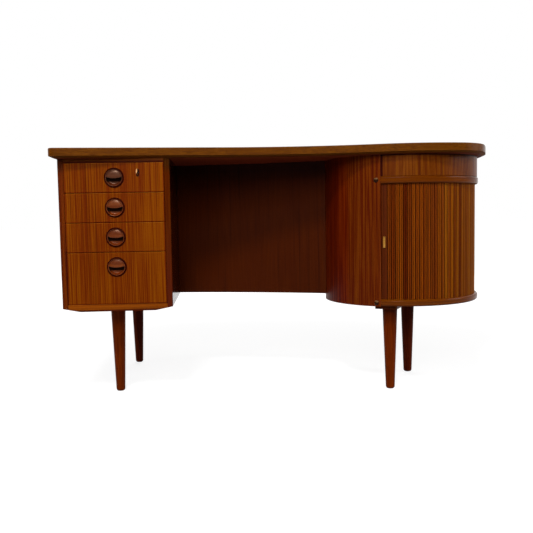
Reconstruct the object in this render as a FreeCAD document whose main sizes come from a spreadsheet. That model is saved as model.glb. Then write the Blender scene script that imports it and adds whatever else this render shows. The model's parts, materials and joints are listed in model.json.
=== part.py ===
import FreeCAD, Part
import math
import os
import re

import Sketcher

# Kidney-shaped teak writing desk: a drawer pedestal on the left, a round cabinet with a
# sliding reeded curtain on the right, a curved back panel between them and four turned legs.
# Frame: origin on the floor under the middle of the desktop, +Z up, the front faces -Y.

SIZES = {
    # Desktop
    "desk_height": 730,
    "desktop_thickness": 28,
    "lipping_width": 20,
    "end_overhang": 18,
    "front_corner_y": -326,
    "front_edge_deg": 5.5,
    "front_hollow_radius": 1118,
    "brow_radius": 476,
    "brow_shift": 26,
    "brow_overhang": 24.3,
    "nose_radius": 131,
    "nose_aside": 88.5,
    "end_radius": 1000,
    "lobe_overhang": 21.5,
    "back_bulge_x": -489,
    "desktop_back_y": 349.8,
    "edge_bevel_width": 14,
    "edge_bevel_height": 6,
    "edge_round": 2.5,
    "front_corner_radius": 19,
    "back_corner_radius": 26,
    # Pedestal carcass
    "pedestal_left": -639,
    "pedestal_front": -282,
    "pedestal_width": 315,
    "pedestal_depth": 608,
    "side_thickness": 16,
    "top_rail_height": 12,
    "top_rail_depth": 60,
    "base_thickness": 20.5,
    "base_bevel_width": 34,
    "base_bevel_height": 6.5,
    "back_thickness": 10,
    # Drawers
    "drawer_pitch": 85,
    "deep_drawer_pitch": 150,
    "drawer_gap": 1.6,
    "front_thickness": 20,
    "drawer_side_thickness": 11,
    "drawer_side_gap": 1.5,
    "drawer_length": 480,
    "drawer_side_drop": 12,
    "drawer_side_rise": 4,
    "drawer_back_thickness": 10,
    "drawer_bottom_thickness": 5,
    "drawer_bottom_rise": 7,
    "drawer_bottom_groove": 4,
    "runner_height": 10,
    "runner_reach": 8,
    "runner_length": 440,
    "runner_setback": 24,
    "runner_clearance": 0.3,
    # Turned pulls
    "bowl_radius": 22.5,
    "cup_wall": 2.5,
    "rim_overhang": 3.5,
    "pull_proud": 4,
    "pull_depth": 15,
    "pull_drop": 42.5,
    "pull_fit": 0.15,
    "bowl_depth": 11,
    "bowl_round": 8,
    "rim_inner_round": 1.6,
    "rim_outer_round": 3.8,
    "lid_recess": 2,
    "lid_thickness": 3.5,
    "lid_sag": 3.2,
    "lid_bite": 0.8,
    # Drawer lock
    "lock_offset": 67.5,
    "lock_drop": 29,
    "escutcheon_width": 9,
    "escutcheon_height": 22,
    "escutcheon_thickness": 1.6,
    "escutcheon_proud": 0.6,
    "keyhole_radius": 2.2,
    "keyhole_slot": 2,
    "keyhole_length": 7,
    "lock_width": 36,
    "lock_height": 40,
    "lock_thickness": 10,
    "bolt_width": 12,
    "bolt_thickness": 4,
    "bolt_length": 22,
    "bolt_clearance": 0.4,
    "bolt_throw": 7,
    "bolt_shy": 1.2,
    # Back panel of the kneehole
    "modesty_apex_x": -633,
    "modesty_apex_y": 78,
    "modesty_radius": 2028,
    "modesty_thickness": 16,
    "modesty_height": 424.5,
    "cleat_width": 22,
    "cleat_height": 20,
    # Round cabinet
    "drum_x": 395,
    "drum_y": -85,
    "stile_deg": -120.9,
    "stile_span": 6.2,
    "stile_depth": 24,
    "door_span": 148,
    "back_stile_span": 4,
    "panel_radius": 240.5,
    "panel_thickness": 8.3,
    "panel_drop": 1,
    "rail_inset": 0.5,
    "rail_round": 6,
    "frieze_inset": 3,
    "frieze_thickness": 14,
    "frieze_height": 62,
    "upper_board_thickness": 22.5,
    "opening_height": 337,
    "drum_base_thickness": 20,
    "glue_gap": 0.1,
    "liner_gap": 5.7,
    "liner_thickness": 4,
    "liner_end_gap": 6,
    "shelf_rise": 163.5,
    "shelf_thickness": 14,
    "shelf_gap": 1,
    "pin_radius": 3,
    "pin_length": 14,
    "dome_radius": 7.3,
    "dome_height": 5,
    "shank_radius": 3,
    "shank_length": 45,
    "shank_fit": 0.1,
    # Sliding curtain
    "curtain_gap": 1,
    "slat_thickness": 8,
    "slat_pitch": 2.85,
    "slat_gap": 0.12,
    "slat_count": 51,
    "reed_crown": 1.5,
    "canvas_thickness": 1,
    "track_depth": 6,
    "track_clearance": 0.5,
    "lead_span": 4.2,
    "lead_gap": 0.15,
    "grip_rise": 168,
    "grip_length": 33,
    "grip_width": 7,
    "grip_proud": 5,
    "grip_round": 2,
    # Legs
    "leg_top_radius": 22.2,
    "leg_tip_radius": 13.2,
    "leg_tip_round": 7,
    "left_front_leg_inset": 138,
    "left_front_leg_setback": 130,
    "left_back_leg_inset": 146,
    "left_back_leg_setback": 58,
    "right_front_leg_aside": 70,
    "right_front_leg_forward": 149,
    "right_back_leg_aside": 42,
    "right_back_leg_behind": 68,
    "batten_width": 66,
    "batten_thickness": 12,
    "batten_overrun": 48,
    "batten_tail": 120,
    "leg_bolt_radius": 4,
    "leg_bolt_length": 30,
    "leg_bolt_bite": 10,
    "leg_bolt_fit": 0.1,
}

# Places and sizes that follow from the driving sizes
PLACES = {
    "underside": "desk_height - desktop_thickness",
    "lobe_radius": "panel_radius + lobe_overhang",
    "brow_y": "brow_radius - panel_radius - brow_overhang",
    "back_reach": "desktop_back_y - drum_y",
    "back_spread": "drum_x - back_bulge_x",
    "back_excess": "back_spread ^ 2 + back_reach ^ 2 - lobe_radius ^ 2",
    "back_radius": "back_excess / (2 * (back_reach - lobe_radius))",
    "stack_top": "underside - top_rail_height",
    "stack_bottom": "stack_top - 3 * drawer_pitch - deep_drawer_pitch",
    "base_foot": "stack_bottom - base_thickness",
    "side_lift": "base_foot + base_bevel_height",
    "side_slope": "side_thickness * base_bevel_height / base_bevel_width",
    "pedestal_right": "pedestal_left + pedestal_width",
    "pedestal_rear": "pedestal_front + pedestal_depth",
    "inner_left": "pedestal_left + side_thickness",
    "inner_width": "pedestal_width - 2 * side_thickness",
    "side_reach": "drawer_side_gap + drawer_side_thickness",
    "box_width": "inner_width - 2 * side_reach",
    "floor_top": "drawer_bottom_rise + drawer_bottom_thickness",
    "pull_x": "pedestal_left + pedestal_width / 2",
    "cup_radius": "bowl_radius + cup_wall",
    "rim_radius": "cup_radius + rim_overhang",
    "lock_x": "pull_x + lock_offset",
    "lock_z": "stack_top - lock_drop",
    "lock_top": "stack_top - bolt_shy",
    "bolt_x": "lock_x - bolt_width / 2",
    "bolt_y": "pedestal_front + front_thickness + (lock_thickness - bolt_thickness) / 2",
    "modesty_centre_y": "modesty_apex_y - modesty_radius",
    "modesty_lift": "underside - modesty_height",
    "upper_board_top": "underside - frieze_height",
    "upper_board_lift": "upper_board_top - upper_board_thickness",
    "upper_board_middle": "upper_board_lift + upper_board_thickness / 2",
    "drum_base_top": "upper_board_lift - opening_height",
    "drum_base_lift": "drum_base_top - drum_base_thickness",
    "drum_base_middle": "drum_base_lift + drum_base_thickness / 2",
    "panel_lift": "drum_base_lift - panel_drop",
    "panel_inner": "panel_radius - panel_thickness",
    "rail_radius": "panel_radius - rail_inset",
    "frieze_radius": "panel_radius - frieze_inset",
    "curtain_radius": "panel_inner - curtain_gap",
    "canvas_radius": "curtain_radius - slat_thickness",
    "track_outer": "curtain_radius + track_clearance",
    "track_inner": "canvas_radius - canvas_thickness - track_clearance",
    "liner_radius": "track_inner - liner_gap",
    "liner_inner": "liner_radius - liner_thickness",
    "liner_start": "stile_span / 2 + door_span",
    "liner_span": "360 - door_span - stile_span - liner_end_gap",
    "shelf_height": "drum_base_top + shelf_rise",
    "curtain_lift": "drum_base_top - track_depth + track_clearance",
    "curtain_height": "opening_height + 2 * (track_depth - track_clearance)",
    "lead_start": "stile_span / 2 + lead_gap",
    "grip_height": "drum_base_top + grip_rise",
    "leg_bore": "leg_bolt_radius + leg_bolt_fit",
    "leg_bore_depth": "leg_bolt_bite + leg_bolt_fit",
    "batten_foot": "drum_base_lift - batten_thickness",
    "left_front_leg_x": "pedestal_left + left_front_leg_inset",
    "left_front_leg_y": "pedestal_front + left_front_leg_setback",
    "left_back_leg_x": "pedestal_left + left_back_leg_inset",
    "left_back_leg_y": "pedestal_rear - left_back_leg_setback",
    "right_front_leg_x": "drum_x - right_front_leg_aside",
    "right_front_leg_y": "drum_y - right_front_leg_forward",
    "right_back_leg_x": "drum_x + right_back_leg_aside",
    "right_back_leg_y": "drum_y + right_back_leg_behind",
}

DRAWERS = (1, 2, 3, 4)
SHELF_PINS = 4
WORD = re.compile(r"[a-z_]+")

doc = FreeCAD.newDocument("WritingDesk")
sheet = doc.addObject("Spreadsheet::Sheet", "dims")
for row, (alias, size) in enumerate(SIZES.items(), start=1):
    sheet.set(f"A{row}", alias)
    sheet.set(f"B{row}", str(size))
    sheet.setAlias(f"B{row}", alias)
doc.recompute()

parts = []


# Helpers

def bound(expression):
    """The expression with every place written out and every size pointing at its cell."""

    def spelled(word):
        name = word[0]
        if name in PLACES:
            return f"({bound(PLACES[name])})"
        return f"dims.{name}" if name in SIZES else name

    return WORD.sub(spelled, expression)


def value(expression):
    return float(sheet.evalExpression(bound(expression)))


def bind(item, prop, expression):
    item.setExpression(prop, bound(expression))


def place(item, x, y, z, turn=None):
    bind(item, "Placement.Base.x", x)
    bind(item, "Placement.Base.y", y)
    bind(item, "Placement.Base.z", z)
    if turn is not None:
        bind(item, "Placement.Rotation.Angle", turn)


def keep(item, label):
    """Marks an object as a finished piece of the desk under its own name."""
    item.Label = label
    parts.append(item)
    return item


def helper(kind, name):
    return doc.addObject(kind, f"{name}_form")


def box(name, size, corner):
    blank = helper("Part::Box", name)
    for prop, expression in zip(("Length", "Width", "Height"), size):
        bind(blank, prop, expression)
    place(blank, *corner)
    return blank


def cylinder(name, radius, height, spot, turn=None, span=None):
    rod = helper("Part::Cylinder", name)
    bind(rod, "Radius", radius)
    bind(rod, "Height", height)
    if span is not None:
        bind(rod, "Angle", span)
    place(rod, *spot, turn)
    return rod


def level_cylinder(name, radius, height, spot):
    """A cylinder that runs along +Y from its spot."""
    rod = cylinder(name, radius, height, spot)
    rod.Placement.Rotation = FreeCAD.Rotation(FreeCAD.Vector(1, 0, 0), -90)
    return rod


def cut(name, base, *tools):
    for tool in tools:
        result = helper("Part::Cut", name)
        result.Base = base
        result.Tool = tool
        base = result
    return base


def fuse(name, members):
    result = helper("Part::MultiFuse", name)
    result.Shapes = members
    result.Refine = True
    return result


def common(name, base, tool):
    result = helper("Part::Common", name)
    result.Base = base
    result.Tool = tool
    return result


def radial_turn(angle):
    """Turns +Z to point straight out from the cabinet axis at that angle."""
    upright = FreeCAD.Vector(0, 0, 1)
    level = FreeCAD.Rotation(FreeCAD.Vector(0, 1, 0), 90)
    return FreeCAD.Rotation(upright, value(angle)) * level


def place_radial(item, reach, lift, angle):
    place(item, f"drum_x + ({reach}) * cos({angle})", f"drum_y + ({reach}) * sin({angle})", lift)
    item.Placement.Rotation = radial_turn(angle)


def radial_cylinder(name, radius, length, reach, lift, angle):
    rod = helper("Part::Cylinder", name)
    bind(rod, "Radius", radius)
    bind(rod, "Height", length)
    place_radial(rod, reach, lift, angle)
    return rod


def group(name, members):
    result = helper("Part::Compound", name)
    result.Links = members
    return result


def ring(name, inner, outer, height, lift, start, span):
    """A stretch of round wall about the cabinet axis; start is counted from the front stile."""
    spot = ("drum_x", "drum_y", lift)
    turn = f"stile_deg + {start}"
    wall = cylinder(f"{name}_outer", outer, height, spot, turn, span)
    hollow = cylinder(f"{name}_hollow", inner, height, spot)
    return cut(name, wall, hollow)


def new_body(name):
    return helper("PartDesign::Body", name)


def sketch_on(body, role, offset=None):
    plane = next(item for item in body.Origin.OriginFeatures if item.Role == role)
    sketch = body.newObject("Sketcher::SketchObject", f"{body.Name}_sketch")
    sketch.AttachmentSupport = [(plane, "")]
    sketch.MapMode = "FlatFace"
    if offset is not None:
        bind(sketch, "AttachmentOffset.Base.z", offset)
    return sketch


def pin(sketch, edge, end, x, y):
    """Fixes one end of an edge at two expressions from the sketch origin."""
    for kind, axis, expression in (("DistanceX", -2, x), ("DistanceY", -1, y)):
        if expression == "0":
            sketch.addConstraint(Sketcher.Constraint("PointOnObject", edge, end, axis))
        else:
            distance = Sketcher.Constraint(kind, -1, 1, edge, end, value(expression))
            index = sketch.addConstraint(distance)
            bind(sketch, f"Constraints[{index}]", expression)


def set_radius(sketch, edge, expression):
    index = sketch.addConstraint(Sketcher.Constraint("Radius", edge, value(expression)))
    bind(sketch, f"Constraints[{index}]", expression)


def polygon(sketch, corners):
    """A closed outline of straight edges, every corner pinned."""
    points = [FreeCAD.Vector(value(x), value(y), 0) for x, y in corners]
    first = sketch.GeometryCount
    for start, end in zip(points, points[1:] + points[:1]):
        sketch.addGeometry(Part.LineSegment(start, end), False)
    for step, corner in enumerate(corners):
        following = first + (step + 1) % len(corners)
        sketch.addConstraint(Sketcher.Constraint("Coincident", first + step, 2, following, 1))
        pin(sketch, first + step, 1, *corner)


def circle(sketch, radius, x, y):
    spot = FreeCAD.Vector(value(x), value(y), 0)
    edge = sketch.addGeometry(Part.Circle(spot, FreeCAD.Vector(0, 0, 1), value(radius)), False)
    set_radius(sketch, edge, radius)
    pin(sketch, edge, 3, x, y)


def pad(body, sketch, length, backwards=False):
    feature = body.newObject("PartDesign::Pad", f"{body.Name}_pad")
    feature.Profile = sketch
    feature.Reversed = backwards
    bind(feature, "Length", length)
    return feature


def pocket(body, sketch, depth, backwards=False):
    feature = body.newObject("PartDesign::Pocket", f"{body.Name}_pocket")
    feature.Profile = sketch
    feature.Reversed = backwards
    before = body.Shape.Volume
    bind(feature, "Length", depth)
    doc.recompute()
    if not feature.Shape.Volume < before:
        raise ValueError(f"{feature.Name} cuts nothing")
    return feature


def revolve(body, sketch, span="360", backwards=False):
    feature = body.newObject("PartDesign::Revolution", f"{body.Name}_revolution")
    feature.Profile = sketch
    feature.ReferenceAxis = (sketch, ["V_Axis"])
    feature.Reversed = backwards
    bind(feature, "Angle", span)
    return feature


def edges_where(feature, wanted):
    doc.recompute()
    edges = enumerate(feature.Shape.Edges, start=1)
    names = [f"Edge{number}" for number, edge in edges if wanted(edge)]
    if not names:
        raise ValueError(f"{feature.Name} has no such edge")
    return (feature, names)


def fillet(body, feature, wanted, radius):
    rounding = body.newObject("PartDesign::Fillet", f"{body.Name}_fillet")
    rounding.Base = edges_where(feature, wanted)
    bind(rounding, "Radius", radius)
    return rounding


def is_ring(edge, radius, level=None, axis="z"):
    """True for a circular edge of that radius, at that level if one is given."""
    if not isinstance(edge.Curve, Part.Circle) or abs(edge.Curve.Radius - value(radius)) > 1e-4:
        return False
    return level is None or abs(getattr(edge.Curve.Center, axis) - value(level)) < 1e-4


def drawer_top(number):
    return f"(stack_top - {number - 1} * drawer_pitch)"


def drawer_height(number):
    return "deep_drawer_pitch" if number == DRAWERS[-1] else "drawer_pitch"


def drawer_bottom(number):
    return f"({drawer_top(number)} - {drawer_height(number)})"


# Desktop: a veneered board inside a bevelled solid lipping

def on_far_side(start, centre, radius):
    """Where the line from the start through the centre of a circle leaves that circle."""
    return centre + (centre - start) * (radius / (centre - start).Length)


def desktop_outline(sketch, inset):
    """Square left end, hollow front swelling into a brow, blunt nose, round end and bulging back."""
    left = f"(pedestal_left - end_overhang + {inset} - drum_x)"
    front = f"(front_corner_y + {inset} * (tan(front_edge_deg) + 1 / cos(front_edge_deg)) - drum_y)"
    hollow = f"(front_hollow_radius + {inset})"
    brow = f"(brow_radius - {inset})"
    nose = f"(nose_radius - {inset})"
    end = f"(end_radius - {inset})"
    lobe = f"(lobe_radius - {inset})"
    back = f"(back_radius - {inset})"
    up = FreeCAD.Vector(0, 0, 1)
    middle = FreeCAD.Vector(0, 0, 0)
    corner = FreeCAD.Vector(value(left), value(front), 0)
    along = FreeCAD.Vector(value("cos(front_edge_deg)"), value("sin(front_edge_deg)"), 0)
    outward = FreeCAD.Vector(along.y, -along.x, 0)
    brow_middle = FreeCAD.Vector(value("brow_shift"), value("brow_y"), 0)
    reach = value(hollow) + value(brow)
    offset = corner + outward * value(hollow) - brow_middle
    lean = offset.dot(along)
    run = -lean - (lean ** 2 - offset.dot(offset) + reach ** 2) ** 0.5
    hollow_middle = brow_middle + offset + along * run
    hollow_start = corner + along * run
    hollow_end = brow_middle + (hollow_middle - brow_middle) * (value(brow) / reach)
    nose_middle = FreeCAD.Vector(value("nose_aside"), value("brow_y"), 0)
    brow_to_nose = value("brow_radius - nose_radius")
    nose_middle.y -= (brow_to_nose ** 2 - (nose_middle.x - brow_middle.x) ** 2) ** 0.5
    nose_start = on_far_side(brow_middle, nose_middle, value(nose))
    end_to_nose = value("end_radius - nose_radius")
    end_to_lobe = value("end_radius - lobe_radius")
    apart = nose_middle.Length
    share = (end_to_nose ** 2 - end_to_lobe ** 2 + apart ** 2) / (2 * apart)
    inward = nose_middle * (-1 / apart)
    sideways = FreeCAD.Vector(-inward.y, inward.x, 0)
    end_middle = nose_middle + inward * share + sideways * (end_to_nose ** 2 - share ** 2) ** 0.5
    nose_end = on_far_side(end_middle, nose_middle, value(nose))
    lobe_start = on_far_side(end_middle, middle, value(lobe))
    back_middle = FreeCAD.Vector(value("back_bulge_x - drum_x"), 0, 0)
    back_middle.y = value("desktop_back_y - drum_y - back_radius")
    lobe_end = back_middle * (-value(lobe) / back_middle.Length)
    drop = (value(back) ** 2 - (corner.x - back_middle.x) ** 2) ** 0.5
    back_corner = FreeCAD.Vector(corner.x, back_middle.y + drop, 0)

    def arc(centre, radius, start, end):
        full = Part.Circle(centre, up, radius)
        return Part.ArcOfCircle(full, full.parameter(start), full.parameter(end))

    first = sketch.GeometryCount
    left_edge, front_edge, hollow_edge, brow_edge = range(first, first + 4)
    nose_edge, end_edge, lobe_edge, back_edge = range(first + 4, first + 8)
    sketch.addGeometry(Part.LineSegment(back_corner, corner), False)
    sketch.addGeometry(Part.LineSegment(corner, hollow_start), False)
    sketch.addGeometry(arc(hollow_middle, value(hollow), hollow_end, hollow_start), False)
    sketch.addGeometry(arc(brow_middle, value(brow), hollow_end, nose_start), False)
    sketch.addGeometry(arc(nose_middle, value(nose), nose_start, nose_end), False)
    sketch.addGeometry(arc(end_middle, value(end), nose_end, lobe_start), False)
    sketch.addGeometry(arc(middle, value(lobe), lobe_start, lobe_end), False)
    sketch.addGeometry(arc(back_middle, value(back), lobe_end, back_corner), False)
    for rule in (
        ("Coincident", left_edge, 2, front_edge, 1),
        ("Vertical", left_edge),
        ("Tangent", front_edge, 2, hollow_edge, 2),
        ("Tangent", hollow_edge, 1, brow_edge, 1),
        ("Tangent", brow_edge, 2, nose_edge, 1),
        ("Tangent", nose_edge, 2, end_edge, 1),
        ("Tangent", end_edge, 2, lobe_edge, 1),
        ("Tangent", lobe_edge, 2, back_edge, 1),
        ("Coincident", back_edge, 2, left_edge, 1),
        ("Coincident", lobe_edge, 3, -1, 1),
    ):
        sketch.addConstraint(Sketcher.Constraint(*rule))
    pin(sketch, front_edge, 1, left, front)
    slope = math.radians(value("front_edge_deg"))
    index = sketch.addConstraint(Sketcher.Constraint("Angle", front_edge, slope))
    bind(sketch, f"Constraints[{index}]", "front_edge_deg")
    radii = ((hollow_edge, hollow), (brow_edge, brow), (nose_edge, nose), (end_edge, end), (lobe_edge, lobe))
    for edge, radius in (*radii, (back_edge, back)):
        set_radius(sketch, edge, radius)
    pin(sketch, brow_edge, 3, "brow_shift", "brow_y")
    for edge, aside in ((nose_edge, "nose_aside"), (back_edge, "back_bulge_x - drum_x")):
        index = sketch.addConstraint(Sketcher.Constraint("DistanceX", -1, 1, edge, 3, value(aside)))
        bind(sketch, f"Constraints[{index}]", aside)


def desktop_panel():
    body = new_body("desktop_panel")
    sketch = sketch_on(body, "XY_Plane")
    desktop_outline(sketch, "lipping_width")
    pad(body, sketch, "desktop_thickness")
    place(body, "drum_x", "drum_y", "underside")
    keep(body, "desktop_panel")


def desktop_lipping():
    body = new_body("desktop_lipping")
    sketch = sketch_on(body, "XY_Plane")
    desktop_outline(sketch, "0")
    desktop_outline(sketch, "lipping_width")
    band = pad(body, sketch, "desktop_thickness")
    end = value("pedestal_left - end_overhang - drum_x")

    def end_corner(edge, back):
        upright = abs(edge.tangentAt(edge.FirstParameter).z) > 0.99
        spot = edge.CenterOfMass
        return upright and abs(spot.x - end) < 1e-3 and (spot.y > 0) == back

    def outer_rim(feature, level):
        """The outside edges of the flat face at one level."""
        doc.recompute()
        flat = [face for face in feature.Shape.Faces if face.BoundBox.ZLength < 1e-6]
        face = next(face for face in flat if abs(face.CenterOfMass.z - level) < 1e-4)
        rim = face.OuterWire.Edges
        return lambda edge: any(edge.isSame(other) for other in rim)

    front_round = fillet(body, band, lambda edge: end_corner(edge, False), "front_corner_radius")
    corners = fillet(body, front_round, lambda edge: end_corner(edge, True), "back_corner_radius")
    rounded = fillet(body, corners, outer_rim(corners, value("desktop_thickness")), "edge_round")
    bevel = body.newObject("PartDesign::Chamfer", "desktop_lipping_bevel")
    bevel.Base = edges_where(rounded, outer_rim(rounded, 0))
    bevel.ChamferType = "Two distances"
    bind(bevel, "Size", "edge_bevel_height")
    bind(bevel, "Size2", "edge_bevel_width")
    place(body, "drum_x", "drum_y", "underside")
    keep(body, "desktop_lipping")


# Drawer pedestal

def pedestal_side(side, x, outer, inner):
    """Upright board whose foot carries on the slope of the base board."""
    body = new_body(f"pedestal_{side}_side")
    sketch = sketch_on(body, "XZ_Plane")
    height = "underside - side_lift"
    polygon(sketch, ((outer, "side_slope"), (inner, "0"), (inner, height), (outer, height)))
    pad(body, sketch, "pedestal_depth", backwards=True)
    place(body, x, "pedestal_front", "side_lift")
    keep(body, f"pedestal_{side}_side")


def pedestal_sides():
    pedestal_side("left", "pedestal_left", "0", "side_thickness")
    pedestal_side("right", "pedestal_right", "0", "-side_thickness")


def pedestal_base():
    """Bottom board whose underside is planed thinner towards both sides."""
    body = new_body("pedestal_base")
    sketch = sketch_on(body, "XZ_Plane")
    polygon(sketch, (
        ("0", "base_bevel_height"),
        ("base_bevel_width", "0"),
        ("inner_width - base_bevel_width", "0"),
        ("inner_width", "base_bevel_height"),
        ("inner_width", "base_thickness"),
        ("0", "base_thickness"),
    ))
    pad(body, sketch, "pedestal_depth", backwards=True)
    doc.recompute()
    bores = sketch_on(body, "XY_Plane")
    for leg in ("left_front_leg", "left_back_leg"):
        circle(bores, "leg_bore", f"{leg}_x - inner_left", f"{leg}_y - pedestal_front")
    pocket(body, bores, "leg_bore_depth", backwards=True)
    place(body, "inner_left", "pedestal_front", "base_foot")
    keep(body, "pedestal_base")


def pedestal_back():
    size = ("inner_width", "back_thickness", "underside - stack_bottom")
    corner = ("inner_left", "pedestal_rear - back_thickness", "stack_bottom")
    keep(box("pedestal_back", size, corner), "pedestal_back")


def pedestal_rails():
    size = ("inner_width", "top_rail_depth", "top_rail_height")
    front = box("pedestal_front_rail", size, ("inner_left", "pedestal_front", "stack_top"))
    socket = box("bolt_socket", (*BOLT_ROOM, "bolt_throw"), (*BOLT_ROOM_CORNER, "stack_top"))
    keep(cut("pedestal_front_rail", front, socket), "pedestal_front_rail")
    rear_y = "pedestal_rear - back_thickness - top_rail_depth"
    keep(box("pedestal_rear_rail", size, ("inner_left", rear_y, "stack_top")), "pedestal_rear_rail")


def drawer_runners():
    strips = []
    size = ("runner_reach", "runner_length", "runner_height")
    for number in DRAWERS:
        for x in ("inner_left", "inner_left + inner_width - runner_reach"):
            lift = f"{side_foot(number)} + {groove_foot(number)} + runner_clearance"
            corner = (x, "pedestal_front + front_thickness + runner_setback", lift)
            strips.append(box("drawer_runner", size, corner))
    keep(group("drawer_runners", strips), "drawer_runners")


# Drawers

# The room that the lock bolt slides in
BOLT_ROOM = ("bolt_width + 2 * bolt_clearance", "bolt_thickness + 2 * bolt_clearance")
BOLT_ROOM_CORNER = ("bolt_x - bolt_clearance", "bolt_y - bolt_clearance")


def side_foot(number):
    return f"({drawer_bottom(number)} + drawer_side_rise)"


def side_height(number):
    return f"({drawer_height(number)} - drawer_side_rise - drawer_side_drop)"


def groove_foot(number):
    return f"(({side_height(number)} - runner_height) / 2 - runner_clearance)"


def oval(name, thickness, y):
    """Upright plate with round ends, flat face to the front."""
    round_end = "escutcheon_width / 2"
    straight = "(escutcheon_height - escutcheon_width)"
    middle = box(name, ("escutcheon_width", thickness, straight),
                 (f"lock_x - {round_end}", y, f"lock_z - {straight} / 2"))
    upper = level_cylinder(name, round_end, thickness, ("lock_x", y, f"lock_z + {straight} / 2"))
    lower = level_cylinder(name, round_end, thickness, ("lock_x", y, f"lock_z - {straight} / 2"))
    return fuse(name, [middle, upper, lower])


def drawer_front(number):
    name = f"drawer_{number}_front"
    size = ("inner_width - drawer_gap", "front_thickness", f"{drawer_height(number)} - drawer_gap")
    corner = ("inner_left + drawer_gap / 2", "pedestal_front", f"{drawer_bottom(number)} + drawer_gap / 2")
    blank = box(name, size, corner)
    seat = ("pull_x", "pedestal_front", f"{drawer_top(number)} - pull_drop")
    recess = level_cylinder(name, "cup_radius + pull_fit", "pull_depth + pull_fit", seat)
    front = cut(name, blank, recess)
    if number == 1:
        plate_seat = oval("escutcheon_seat", "escutcheon_thickness - escutcheon_proud", "pedestal_front")
        bore_spot = ("lock_x", "pedestal_front", "lock_z")
        bore = level_cylinder("key_bore", "keyhole_radius", "front_thickness", bore_spot)
        front = cut(name, front, plate_seat, bore)
    keep(front, name)


def drawer_side(number, side, sign):
    """Side with a groove outside for its runner and one inside for the bottom."""
    name = f"drawer_{number}_{side}_side"
    inside = f"{sign} * drawer_side_thickness"
    floor_cut = f"{sign} * (drawer_side_thickness - drawer_bottom_groove)"
    runner_cut = f"{sign} * (runner_reach - drawer_side_gap + runner_clearance)"
    groove_top = f"{groove_foot(number)} + runner_height + 2 * runner_clearance"
    body = new_body(name)
    sketch = sketch_on(body, "XZ_Plane")
    polygon(sketch, (
        ("0", "0"),
        (inside, "0"),
        (inside, "drawer_bottom_rise"),
        (floor_cut, "drawer_bottom_rise"),
        (floor_cut, "floor_top"),
        (inside, "floor_top"),
        (inside, side_height(number)),
        ("0", side_height(number)),
        ("0", groove_top),
        (runner_cut, groove_top),
        (runner_cut, groove_foot(number)),
        ("0", groove_foot(number)),
    ))
    pad(body, sketch, "drawer_length", backwards=True)
    x = "inner_left + drawer_side_gap" if sign > 0 else "inner_left + inner_width - drawer_side_gap"
    place(body, x, "pedestal_front + front_thickness", side_foot(number))
    keep(body, name)


def drawer_box(number):
    x = "inner_left + side_reach"
    y = "pedestal_front + front_thickness"
    back_size = ("box_width", "drawer_back_thickness", f"{side_height(number)} - floor_top")
    back_corner = (x, f"{y} + drawer_length - drawer_back_thickness", f"{side_foot(number)} + floor_top")
    keep(box(f"drawer_{number}_back", back_size, back_corner), f"drawer_{number}_back")
    floor_size = ("box_width + 2 * drawer_bottom_groove", "drawer_length", "drawer_bottom_thickness")
    floor_corner = (f"{x} - drawer_bottom_groove", y, f"{side_foot(number)} + drawer_bottom_rise")
    keep(box(f"drawer_{number}_bottom", floor_size, floor_corner), f"drawer_{number}_bottom")


def drawer_pull(number):
    """Turned cup let into the front: a round rim, a bowl, and a lid over its upper half."""
    name = f"drawer_{number}_pull"
    body = new_body(name)
    profile = sketch_on(body, "XY_Plane")
    polygon(profile, (
        ("0", "pull_depth"),
        ("cup_radius", "pull_depth"),
        ("cup_radius", "0"),
        ("rim_radius", "0"),
        ("rim_radius", "-pull_proud"),
        ("bowl_radius", "-pull_proud"),
        ("bowl_radius", "bowl_depth"),
        ("0", "bowl_depth"),
    ))
    cup = revolve(body, profile)
    front = "-pull_proud"
    hollow = fillet(body, cup, lambda edge: is_ring(edge, "bowl_radius", "bowl_depth", "y"), "bowl_round")
    outer = fillet(body, hollow, lambda edge: is_ring(edge, "rim_radius", front, "y"), "rim_outer_round")
    fillet(body, outer, lambda edge: is_ring(edge, "bowl_radius", front, "y"), "rim_inner_round")
    lid = sketch_on(body, "XZ_Plane", "pull_proud - lid_recess - lid_thickness")
    half_disc(lid, "bowl_radius + lid_bite", "lid_sag")
    pad(body, lid, "lid_thickness")
    place(body, "pull_x", "pedestal_front", f"{drawer_top(number)} - pull_drop")
    keep(body, name)


def half_disc(sketch, radius, sag):
    """Upper half of a disc whose lower edge dips in the middle."""
    size = value(radius)
    dip = value(sag)
    up = FreeCAD.Vector(0, 0, 1)
    left = FreeCAD.Vector(-size, 0, 0)
    right = FreeCAD.Vector(size, 0, 0)
    dip_radius = (size ** 2 + dip ** 2) / (2 * dip)
    dip_middle = FreeCAD.Vector(0, dip_radius - dip, 0)
    crown = Part.Circle(FreeCAD.Vector(0, 0, 0), up, size)
    brow = Part.Circle(dip_middle, up, dip_radius)
    arch = sketch.addGeometry(Part.ArcOfCircle(crown, 0, math.pi), False)
    lip_arc = Part.ArcOfCircle(brow, brow.parameter(left), brow.parameter(right))
    lip = sketch.addGeometry(lip_arc, False)
    sketch.addConstraint(Sketcher.Constraint("Coincident", arch, 3, -1, 1))
    sketch.addConstraint(Sketcher.Constraint("PointOnObject", arch, 1, -1))
    sketch.addConstraint(Sketcher.Constraint("PointOnObject", arch, 2, -1))
    sketch.addConstraint(Sketcher.Constraint("Coincident", lip, 1, arch, 2))
    sketch.addConstraint(Sketcher.Constraint("Coincident", lip, 2, arch, 1))
    set_radius(sketch, arch, radius)
    set_radius(sketch, lip, f"(({radius}) ^ 2 + ({sag}) ^ 2) / (2 * ({sag}))")


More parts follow.
